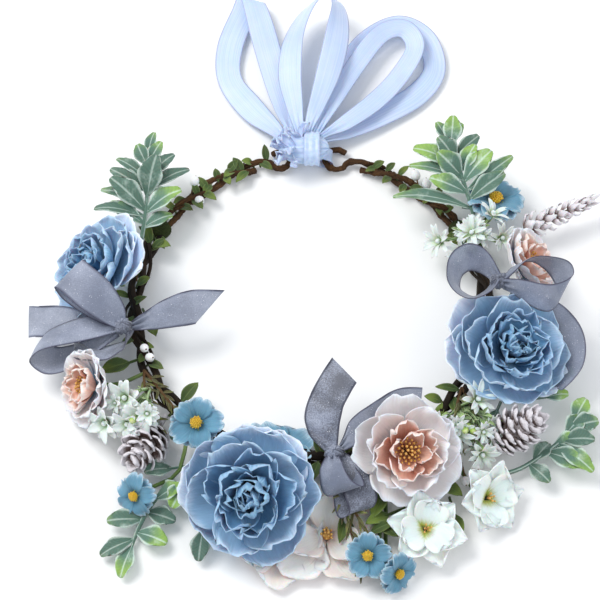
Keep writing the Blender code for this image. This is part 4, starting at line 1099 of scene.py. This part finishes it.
# %% Heather and rosemary
SNOW_BRACT = petal_cloth("snow_bract", dye(0.40, 0.27, 0.21), dye(0.93, 0.90, 0.92), dye(0.99, 0.98, 0.99), 0.2,
                         throat_to=0.66)
NEEDLE = leaf_finish("rosemary_needle", dye(0.30, 0.30, 0.14), dye(0.46, 0.50, 0.22), dye(0.52, 0.50, 0.34))


BRACT_RINGS, NEEDLES = 12, 26


def heather(label, base, stem):
    dice = dice_of(label)
    line = [np.array(base) + spot for spot in stem]
    twig = Pattern().add(rod(line, (0.9, 0.9, 0.8, 0.7, 0.4), 7, 24), 0.3, closed=True)
    bracts = Pattern()
    for i in range(BRACT_RINGS):
        share = 0.30 + 0.66 * i / (BRACT_RINGS - 1)
        spot, ahead = on_path(line, share), on_path(line, min(share + 0.02, 1.0)) - on_path(line, share - 0.02)
        size = 8.2 * (1 - 0.55 * (i / (BRACT_RINGS - 1)))
        whorl(bracts, facing(spot, ahead, 40 * i), dice, 4, ((0.5, -0.8), (size * 0.5, 0.2), (size * 0.85, 2.6),
                                                            (size * 0.80, 5.6)), size * 0.36, loose=16, sway=0.2,
              cup=1.1, arc=0.3, taper=0.6, crease=0.25, rows=8, columns=7)
    twig.piece(label + "_stem", TWIG, "heather", [label], "twig")
    bracts.piece(label + "_bracts", SNOW_BRACT, "heather", slot="white_spray", thick=0.35)


def rosemary(label, base, stems, nodes=(), length=9.0):
    dice = dice_of(label)
    twig, needles = Pattern(), Pattern()
    for stem in stems:
        line = [np.array(base) + spot for spot in stem]
        twig.add(rod(line, [0.8] * (len(line) - 1) + [0.4], 6, 18), 0.5, closed=True)
        for i in range(NEEDLES):
            share = 0.18 + 0.8 * i / (NEEDLES - 1)
            ahead = on_path(line, min(share + 0.03, 1)) - on_path(line, share - 0.03)
            swing = ahead / np.linalg.norm(ahead) + dice.uniform(-0.75, 0.75, 3) * (1, 1, 0.7)
            leaf(needles, on_path(line, share), swing, length * dice.uniform(0.7, 1.1), 1.5, dice, pointed=True)
    twig.piece(label + "_stems", TWIG, "front", nodes, "twig")
    needles.piece(label + "_needles", NEEDLE, "front", slot="twig", thick=0.4)


heather("heather_twig", (99, 38.5, 10), ((0, 0, 0), (14, 3, 3), (28, 9, 5), (42, 15, 6), (53, 20, 6)))
rosemary("rosemary_twig", (14, -100, 13), (
    ((0, 0, 0), (2, -14, 1), (6, -32, 0), (11, -50, -3)), ((1, -6, 0), (8, -22, 1), (18, -40, -2), (24, -52, -5))),
    ["rosemary_twig"])
rosemary("right_rosemary", (78, -52, 12), (
    ((0, 0, 0), (-3, -12, 4), (-4, -24, 3), (-2, -36, -1)), ((0, 0, 0), (5, -14, 3), (11, -28, -1))))
rosemary("left_rosemary", (-86, -42, 12), (
    ((0, 0, 0), (6, -9, 3), (13, -19, 4), (21, -30, 4)), ((0, 0, 0), (1, -11, 3), (4, -22, 5), (9, -34, 5))),
    length=8.0)
print("heather with", BRACT_RINGS, "rings of bracts, and three rosemary twigs")

# %% [markdown]
# ## Ivy and berries
# Little ivy leaves are glued along the vine on short stalks, and white berries sit beside it, so that
# no length of the ring is quite bare. Ivy is thrown by chance within its stretch of the ring.

# %% Ivy and berries
def ivy(label, body, start, end, count, length):
    """Ivy leaves along the ring from one angle to another, each on a stalk from the vine."""
    dice = dice_of(label)
    leaves = Pattern()
    for i in range(count):
        angle = start + (end - start) * (i + dice.uniform(0.2, 0.8)) / count
        spot = ring_point(angle, dice.uniform(-2.5, 2.5), dice.uniform(0.5, 2.5))
        away = math.radians(angle + dice.uniform(-75, 75) + (180 if i % 2 else 0))
        way = (math.cos(away), math.sin(away), dice.uniform(0.0, 0.45))
        leaf(leaves, spot, way, length * dice.uniform(0.75, 1.2), length * dice.uniform(0.42, 0.6), dice,
             pointed=True)
        foot = ring_point(angle, 0, -1.5)
        leaves.add(rod((foot, (foot + spot) / 2, spot), 0.45, 6, 6), 0.2, closed=True)
    leaves.piece(label, IVY_LEAF, body, slot="silver_leaf", thick=0.35)


BERRY = 2.6


def berries(label, body, spots):
    """White berries on short wires, each with the dark dot of its old flower."""
    dice = dice_of(label)
    balls, wires = Pattern(), Pattern()
    for spot, foot in spots:
        spot, foot = np.array(spot, float), np.array(foot, float)
        away = (spot - foot) / np.linalg.norm(spot - foot)
        frame = facing(spot, away)
        half = BERRY * dice.uniform(0.85, 1.1)
        balls.add(carried(bead((0, 0, 0), (half, half, half * 1.15), 10, 14), frame), dice.uniform(0, 1), closed=True)
        wires.add(rod((foot, (spot + foot) / 2 + (0, 0, 0.8), spot), 0.45, 6, 8), 0.4, closed=True)
        wires.add(carried(bead((0, 0, half * 1.12), (0.5, 0.5, 0.35), 5, 7), frame), 0.1, closed=True)
    balls.piece(label, PEARL, body, slot="white_spray")
    wires.piece(label + "_wires", TWIG, body, slot="twig")


ivy("left_ivy", "left_arm", 142, 104, 17, 9.0)
ivy("right_ivy", "right_arm", 37, 70, 13, 8.0)
ivy("left_front_ivy", "front", 160, 206, 12, 9.0)
ivy("left_tape_ivy", "front", 151, 160, 6, 11.0)
ivy("right_tape_ivy", "front", 21, 29, 6, 11.0)
ivy("right_front_ivy", "front", 306, 338, 9, 11.0)
ivy("low_front_ivy", "front", 262, 292, 8, 10.0)
berries("left_berries", "left_arm", (((-63, 76, 8), (-65, 68, 5)), ((-60, 64, 8), (-64, 67, 5))))
berries("side_berries", "front", (((-92, 20, 15), (-92, 12, 10)), ((-86, -31, 16), (-90, -25, 10)),
                                  ((-83, -36, 15), (-88, -33, 10)), ((-80, -64, 17), (-82, -54, 12))))
berries("right_berries", "right_arm", (((58, 80, 8), (60, 72, 5)), ((64, 74, 9), (65, 67, 5))))
berries("low_right_berries", "front", (((92, -88, 14), (84, -72, 9)), ((84, -96, 12), (80, -80, 8)),
                                       ((78, -104, 11), (76, -88, 8)), ((72, -98, 12), (74, -84, 8))))
print("ivy and berries made")

# %% [markdown]
# ## Ribbons
# A ribbon has a fixed cut width, so where it goes into a knot it can't get narrower: it gathers into
# pleats. `strip` follows a smooth path, turns its width with it, and pleats the cloth by as much as
# its width is squeezed. Each ribbon prints the size that it was cut to.

# %% Ribbon maker
ROWS_PER_SPAN, RIBBON_COLUMNS = 9, 13


def strip(stations, width, dice, wave=0.35, slant=0.0):
    """A ribbon as a grid, through (x, y, z, azimuth of its width, tilt of its width, width there)."""
    rows = ROWS_PER_SPAN * (len(stations) - 1) + 1
    run = smooth(np.array(stations, float), np.linspace(0, 1, rows))
    azimuth, tilt = np.radians(run[:, 3]), np.radians(run[:, 4])
    across = np.stack([np.cos(azimuth) * np.cos(tilt), np.sin(azimuth) * np.cos(tilt), np.sin(tilt)], -1)
    along = np.gradient(run[:, :3], axis=0)
    normal = np.cross(across, along)
    normal /= np.maximum(np.linalg.norm(normal, axis=1, keepdims=True), 1e-9)
    v = np.linspace(-1, 1, RIBBON_COLUMNS)[None, :]
    squeezed = np.maximum(width * 0.62 - run[:, 5:6], 0) * 0.24
    lift = 0.4 * (1 - v**2) + squeezed * np.cos(2.5 * math.pi * v)
    a, b = dice.uniform(0, 6.28, 2)
    u = np.linspace(0, 1, rows)[:, None]
    lift = lift + wave * v * np.sin(u * 17 + a) + wave * 0.6 * np.sin(u * 29 + 2.5 * v + b)
    grid = run[:, None, :3] + across[:, None] * (v * run[:, 5:6] / 2)[..., None] + normal[:, None] * lift[..., None]
    ahead = along / np.linalg.norm(along, axis=1, keepdims=True)
    cut = slant * v * np.maximum(u - 0.75, 0) * 4
    grid = grid + ahead[:, None] * cut[..., None]
    length = float(np.linalg.norm(np.diff(run[:, :3], axis=0), axis=1).sum())
    return grid, length


def ribbon(label, stations, width, finish, body, nodes, slot, held, rests_on, wire=None, thick=0.25, **shape):
    """One ribbon, with a wire in each edge where it is the sheer kind."""
    grid, length = strip(stations, width, dice_of(label), **shape)
    made = Pattern().add(grid, dice_of(label).uniform(0, 1)).piece(label, finish, body, nodes, slot, thick)
    trim = []
    if wire:
        edges = Pattern()
        for side in (0, -1):
            edges.add(rod(grid[::4, side], 0.22, 6, grid.shape[0]), 0.5, closed=True)
        trim = [edges.piece(label + "_edge_wires", wire, body, slot=slot)]
    length * MM
    print(f"{label}: cut {width:.0f} by {length:.0f} mm")

# %% [markdown]
# ## The satin bow
# The crown is tied with pale blue satin. Satin shines along its threads, so its finish stretches the
# highlight with the shader's anisotropy, and draws the warp as a very fine relief. Soft streaks along
# the ribbon, between a shaded and a lit pale blue, are painted sheen and shade. The woven edge is a
# little darker than the ribbon between.

# %% Satin finish
def satin_finish():
    finish = Finish("satin", {"Anisotropic": 0.6, "Sheen Weight": 0.15, "Specular IOR Level": 0.55,
                              "Subsurface Weight": 0.15, "Subsurface Scale": 0.002})
    along, across, tone = finish.lay()
    place = finish.place()
    warp = finish.node("TexWave", {"wave_type": "BANDS", "bands_direction": "X"},
                       {"Vector": finish.stretched(across, 0.0, 0.0), "Scale": 14.0, "Distortion": 0.0}, 1)
    cloud = finish.noise(place, 45.0, 2.0)
    painted_sheen_streak = finish.noise(finish.stretched(along * 1.5, across * 8.0, tone * 9.0), 2.0, 2.0)
    # Painted sheen and shade: the streaks mix a shaded pale blue into a lit one.
    ground = finish.mix(finish.step(painted_sheen_streak * 0.6 + cloud * 0.4, 0.35, 0.65), dye(0.72, 0.80, 0.93),
                        dye(0.80, 0.86, 0.96))
    selvedge = finish.step(finish.size_of(across), 0.90, 0.97)
    finish.colour(finish.mix(selvedge * 0.8, ground, dye(0.62, 0.67, 0.82)))
    finish.rough(painted_sheen_streak * 0.12 + 0.30)
    finish.bump(warp * 0.15 + painted_sheen_streak * 0.5, 0.0001)
    return finish


SATIN = satin_finish()
print("satin finish:", SATIN.material.name)

# %% [markdown]
# ## The knot
# The knot is ribbon gathered up tight: a pleated pillow, a band tied round it, and small puffs that
# escape at its side. All of it is one length of cloth, so it is one piece.

# %% Knot
W = 15.0  # the cut width of the satin
KNOT = np.array((-3.0, 94.5, 12.4))


def make_knot():
    """A pleated pillow of gathered satin, the band tied round it, and the small puffs beside it."""
    dice = dice_of("knot")
    knot = Pattern()

    def pleats(fall, turn):
        return 1 + np.sin(fall) ** 0.5 * (0.055 * np.sin(9 * turn + 2 * fall) + 0.03 * np.sin(17 * turn + 1.3))

    pillow = bead((0, 0, 0), (8.5, 6.0, 13.5), 30, 72, pleats)
    knot.add(pillow[..., [2, 0, 1]] + KNOT, 0.3, closed=True)
    turn = np.linspace(0, 2 * math.pi, 60, endpoint=False)[None, :]
    v = np.linspace(-1, 1, 13)[:, None]
    swell = 1.0 + 0.35 * np.cos(v * math.pi * 2.5) + 0.25 * (1 - v**2)
    band = np.stack([np.broadcast_to(4.2 + 4.3 * v, (13, 60)), (8.6 + swell) * np.cos(turn),
                     (6.1 + swell) * np.sin(turn)], -1)
    knot.add(band + KNOT, 0.9, closed=True)
    for spot, way, size in (((-13, 92, 13), (-1.0, -0.3, 0.5), 8.5), ((-12, 97, 13), (-1.0, 0.5, 0.6), 8.0),
                            ((-10, 88.5, 14), (-0.6, -1.0, 0.7), 7.5), ((-9, 92, 17.5), (-0.7, -0.1, 1.0), 7.0),
                            ((-5, 99, 16), (-0.3, 0.7, 0.8), 7.0)):
        spots = ((0.3, -1.0), (size * 0.35, 2.0), (size * 0.7, 4.2), (size * 0.8, 7.5))
        whorl(knot, facing(spot, way), dice, 2, spots, size * 0.55, 0, 20, cup=1.2, ruffle=1.3, crease=1.2, waves=2.2,
              rows=10, columns=13)
    made = knot.piece("satin_knot_pleats", SATIN, "left_arm", ["satin_knot"], "satin", 0.3)


make_knot()

# %% [markdown]
# ## Four loops and the band
# The four loops spread from the knot. Each starts and ends inside it, narrow and pleated, so that the
# bow still looks tied when it lifts. A narrow band runs on from the knot through the arm's eye.

# %% Loops and band
def satin(label, stations):
    ribbon(label + "_satin", stations, W, SATIN, "bow", [label], "satin", "gathered", ["satin_knot_pleats"])


satin("satin_left_loop", (
    (-6.0, 98.0, 11.5, 40, 5, 3.0), (-14.0, 104.2, 8.5, 45, 5, 5.5), (-21, 113, 6.5, 48, 5, 10),
    (-33, 127, 4.3, 42, 5, W), (-45, 147, 3.4, 15, 8, W * 0.92), (-45, 170, 3.6, -8, 5, W), (-37, 194, 4.4, -15, 0, W),
    (-34, 201, 6.6, -15, 0, W), (-31, 194, 9.2, -12, 0, W), (-24, 165, 9.0, 6, 0, W),
    (-15.5, 130, 8.8, 12, 0, W * 0.85), (-9.3, 106, 9.6, 12, 0, 5.0), (-5.0, 98.0, 11.8, 12, 0, 3.0)))
satin("satin_centre_loop", (
    (-4.0, 97.5, 13.0, 0, 0, 3.0), (-5.6, 105.4, 13.6, 0, 0, 5.0), (-8.5, 122, 15.0, -3, 10, 10),
    (-11, 142, 16.5, -3, 25, W * 0.95), (-9, 165, 17.5, -15, 40, W), (-1, 184, 19.5, -40, 50, W),
    (9, 191, 23.0, -85, 60, W), (16, 184, 23.0, -135, 50, W), (15.5, 164, 21.5, -172, 25, W),
    (10, 138, 19.0, -166, 8, W), (3.2, 117, 16.0, -164, 0, 10), (-0.6, 105.6, 13.6, -165, 0, 5.0),
    (-2.0, 97.5, 12.8, -165, 0, 3.0)))
satin("satin_right_outer_loop", (
    (1.0, 97.5, 11.6, -50, 0, 3.0), (9.5, 103.0, 9.2, -50, 0, 5.5), (20, 110, 6.6, -58, 0, 11),
    (38, 121, 4.4, -56, 0, W * 0.95), (60, 136, 3.6, -46, 0, W * 0.95), (71, 154, 3.4, -10, 0, W * 0.85),
    (66, 175, 4.0, 30, 10, W * 0.85), (50, 184, 4.6, 80, 10, W * 0.85), (31, 171, 4.8, 125, 5, W * 0.85),
    (17, 146, 5.0, 145, 0, W * 0.8), (8, 122, 6.6, 160, 0, 9), (3.6, 105.2, 9.2, 170, 0, 5.0),
    (0.0, 97.5, 11.6, 170, 0, 3.0)))
satin("satin_right_inner_loop", (
    (2.0, 98.0, 12.6, -50, 0, 3.0), (9.4, 104.4, 12.4, -50, 0, 4.6), (20, 112.5, 11.2, -55, 0, 9),
    (37, 128, 9.8, -46, 0, W * 0.78), (51, 146, 9.2, -38, 5, W * 0.78), (60, 165, 9.6, 0, 15, W * 0.74),
    (54, 177, 10.6, 60, 20, W * 0.74), (41, 173, 11.2, 120, 15, W * 0.74), (27, 153, 11.2, 140, 5, W * 0.74),
    (13.5, 127, 11.4, 150, 0, 9), (4.2, 106.0, 12.0, 160, 0, 4.6), (1.0, 98.0, 12.4, 160, 0, 3.0)))
ribbon("eye_band_satin", (
    (-13.5, 94.8, 12.8, 90, 0, 7.0), (-2.0, 94.2, 12.4, 90, 0, 7.5), (6.0, 93.8, 10.4, 90, 0, 8.5),
    (11.4, 93.6, 7.2, 90, 0, 8.5), (12.8, 93.5, 4.0, 90, 0, 8.5), (10.6, 93.5, 1.4, 90, 0, 8.5),
    (6.6, 93.5, 1.5, 90, 0, 8.5), (2.0, 93.6, 4.6, 90, 0, 8.5), (-4.0, 93.8, 9.0, 90, 0, 7.5),
    (-13.0, 94.0, 11.2, 90, 0, 7.0)), 10.0, SATIN, "right_arm", ["satin_eye_band"], "satin", "stretched",
    ["right_vine_a_bark", "satin_knot_pleats"], wave=0.1)

# %% [markdown]
# ## Sheer ribbon
# The grey-lavender ribbon is organza with a wire in each edge. It is sheer, so its finish lets
# light through, less so in the edges, and it has a fine grain and a scatter of bright glints. The
# glints are a cell texture with a sharp cut-off, so they stay points. A darker, closer dye serves
# the loops that lie in shade or double.

# %% Organza finish
def organza_finish(name, cover, tint, edge_tint):
    finish = Finish(name, {"Specular IOR Level": 0.5, "Sheen Weight": 0.3})
    across = finish.lay()[1]
    place = finish.place()
    cloud = finish.noise(place, 60.0, 3.0)
    fine = finish.noise(place, 1500.0, 1.0)
    cells = finish.node("TexVoronoi", {}, {"Vector": place, "Scale": 1100.0})
    glint = (1 - finish.step(cells, 0.10, 0.20)) * finish.step(finish.noise(place, 260.0, 1.0), 0.52, 0.62)
    edge = finish.step(finish.size_of(across), 0.86, 0.95)
    ground = finish.mix(finish.step(cloud + (fine - 0.5) * 0.5, 0.30, 0.80), tint, dye(0.66, 0.69, 0.77))
    ground = finish.mix(edge * 0.8, ground, edge_tint)
    finish.colour(finish.mix(glint, ground, dye(0.97, 0.97, 1.0)))
    finish.rough(fine * 0.2 + 0.38)
    finish.plug(finish.shader.inputs["Alpha"], finish.larger(edge * 0.95, glint) * (1 - cover) + (cover - 0.04)
                + cloud * 0.08)
    finish.bump(fine * 0.5 + cloud, 0.0003)
    return finish


ORGANZA = organza_finish("organza", 0.70, dye(0.51, 0.54, 0.62), dye(0.39, 0.41, 0.49))
DARK_ORGANZA = organza_finish("shaded_organza", 0.90, dye(0.33, 0.345, 0.40), dye(0.25, 0.26, 0.32))
EDGE_WIRE = bark("edge_wire", dye(0.28, 0.28, 0.34), dye(0.38, 0.38, 0.46), dye(0.52, 0.52, 0.60))
print("organza finishes:", ORGANZA.material.name, DARK_ORGANZA.material.name)

# %% [markdown]
# ## Sheer bows
# Each bow is a cinched knot with wired loops and tails. The wire lets a loop stand up in a curve that
# plain cloth couldn't hold, so the loops are free curves through a few points each.

# %% Organza maker
ORGANZA_CUT = 19.0


def organza(side, name, stations, finish=ORGANZA, beside=(), body="front", nodes=(), **shape):
    """One loop or tail of the bow on that side, held in the bow's knot and perhaps lying on a flower."""
    ribbon(side + "_organza_" + name, stations, ORGANZA_CUT, finish, body, nodes, "organza", "gathered",
           [side + "_organza_knot", *beside], EDGE_WIRE, 0.2, **shape)


def gathered_knot(side, centre, half):
    """The cinched middle of a sheer bow: deep pleats round a wire."""
    def pleats(fall, turn):
        return 1 + 0.09 * np.sin(8 * turn + 3 * fall) + 0.05 * np.sin(15 * turn)

    knot = Pattern().add(bead(centre, half, 16, 56, pleats), 0.5, closed=True)
    knot.piece(side + "_organza_knot", DARK_ORGANZA, "front", [side + "_organza_bow"], "organza")

# %% [markdown]
# ## The left bow
# It lies over the left peony, with a loop standing towards the back, a wide one outwards, a swag
# below, and the long tail that bends on its own body.

# %% Left bow
gathered_knot("left", (-97, -24, 27), (5, 4.5, 4))
organza("left", "loop", (
    (-97, -24, 27, 50, 0, 5), (-101, -20, 33, 48, 0, 14), (-110, -13, 39.5, 46, 4, 20), (-121, -3, 40.5, 45, 6, 20),
    (-125, 1, 37, 45, 6, 20), (-120, -5, 33, 48, 4, 19), (-108, -16, 30, 50, 0, 14), (-98, -24, 28, 50, 0, 5)),
    beside=["left_peony_rim"])
organza("left", "side_loop", (
    (-98, -25, 27, 80, 0, 5), (-110, -25, 27, 75, 0, 13), (-127, -27, 25, 70, -10, 18), (-139, -30, 20, 68, -14, 18),
    (-141, -33, 16, 68, -14, 18), (-132, -37, 13, 72, -10, 18), (-115, -33, 18, 78, 0, 14), (-99, -26, 25, 85, 0, 5)))
organza("left", "short_tail", (
    (-98, -24, 25, 90, 0, 5), (-112, -20, 21, 88, 0, 13), (-130, -16, 17, 86, 0, 18), (-147, -15, 15, 80, 0, 18.5)),
    slant=2.0)
organza("left", "swag", (
    (-93, -25, 26, 60, -20, 7), (-94, -33, 26, 75, -35, 16), (-103, -38, 25, 85, -40, 18),
    (-114, -38, 23, 92, -40, 18), (-122, -34, 20, 95, -35, 17)), DARK_ORGANZA)
organza("left", "long_tail", (
    (-93, -23, 25, 90, 12, 4), (-86, -20, 25, 90, 20, 9), (-76, -17, 27, 85, 25, 15), (-64, -13.5, 27, 80, 25, 18.5),
    (-52, -12, 25.5, 66, 20, 18.5)), body="left_tail", nodes=["left_organza_tail"], slant=4.0)

# %% [markdown]
# ## The front bow
# It sits between the front peony and the camellia, and its tall tail stands up into the ring.

# %% Front bow
gathered_knot("front", (12, -94, 23), (5, 4, 4))
organza("front", "loop", (
    (11, -95, 24, 0, 20, 5), (10, -104, 28, 10, 30, 13), (13, -114, 27, 10, 40, 17), (20, -114, 23, 0, 40, 16),
    (18, -103, 20, 0, 30, 12), (13, -95, 22, 0, 20, 5)))
organza("front", "right_loop", (
    (13, -95, 23, 50, 10, 6), (19, -104, 23, 45, 6, 14), (24, -113, 22, 35, 4, 16), (26, -121, 19, 28, 0, 16),
    (21, -123, 16, 25, -6, 16), (17, -111, 17, 38, -5, 14), (13, -97, 20, 50, 0, 6)), DARK_ORGANZA)
organza("front", "back_loop", (
    (13, -93, 23, 60, 20, 5), (21, -85, 27, 100, 30, 13), (33, -78, 29, 100, 40, 17), (45, -70, 29, 95, 30, 16),
    (56, -68, 27, 85, 30, 15)), beside=["front_camellia_wide_petals"])
organza("front", "tall_tail", (
    (10, -93, 23, -8, 6, 6), (6.5, -86, 26, -12, 8, 15), (6.0, -77, 30, -16, 10, 18.5),
    (9.5, -67, 34, -22, 10, 18.5), (17, -55, 38, -27, 10, 18.5)), DARK_ORGANZA, body="front_tail",
    nodes=["front_organza_tail"], slant=-4.0)

# %% [markdown]
# ## The right bow
# Two open loops lie round the right camellia, and a third falls outside the right peony.

# %% Right bow
gathered_knot("right", (98, -2, 35.5), (5, 4.5, 4))
organza("right", "left_loop", (
    (97, -1, 36, 20, 62, 6), (90, 6, 40, 60, 62, 14), (82, 9, 41, 100, 60, 16), (75, 3, 41, 150, 60, 16),
    (74, -7, 40, 200, 58, 16), (82, -14, 39, 255, 58, 16), (91, -9, 37, 305, 60, 14), (97, -2, 36, 340, 60, 6)))
organza("right", "ring_loop", (
    (100, -2, 36, -50, 62, 6), (107, 4, 41, -50, 62, 14), (117, 7, 43, -35, 60, 15), (128, 1, 43, 10, 58, 15),
    (131, -9, 42, 50, 55, 15), (122, -16, 42, 85, 55, 15), (108, -10, 40, 110, 55, 13), (100, -4, 36, 120, 60, 6)),
    beside=["right_camellia_wide_petals"])
organza("right", "low_loop", (
    (103, -8, 30, 70, 45, 8), (113, -12, 26, 65, 45, 15), (126, -18, 23, 45, 40, 18), (134, -30, 20, 10, 40, 18),
    (133, -43, 17, -25, 40, 18), (124, -52, 14, -50, 40, 17)))
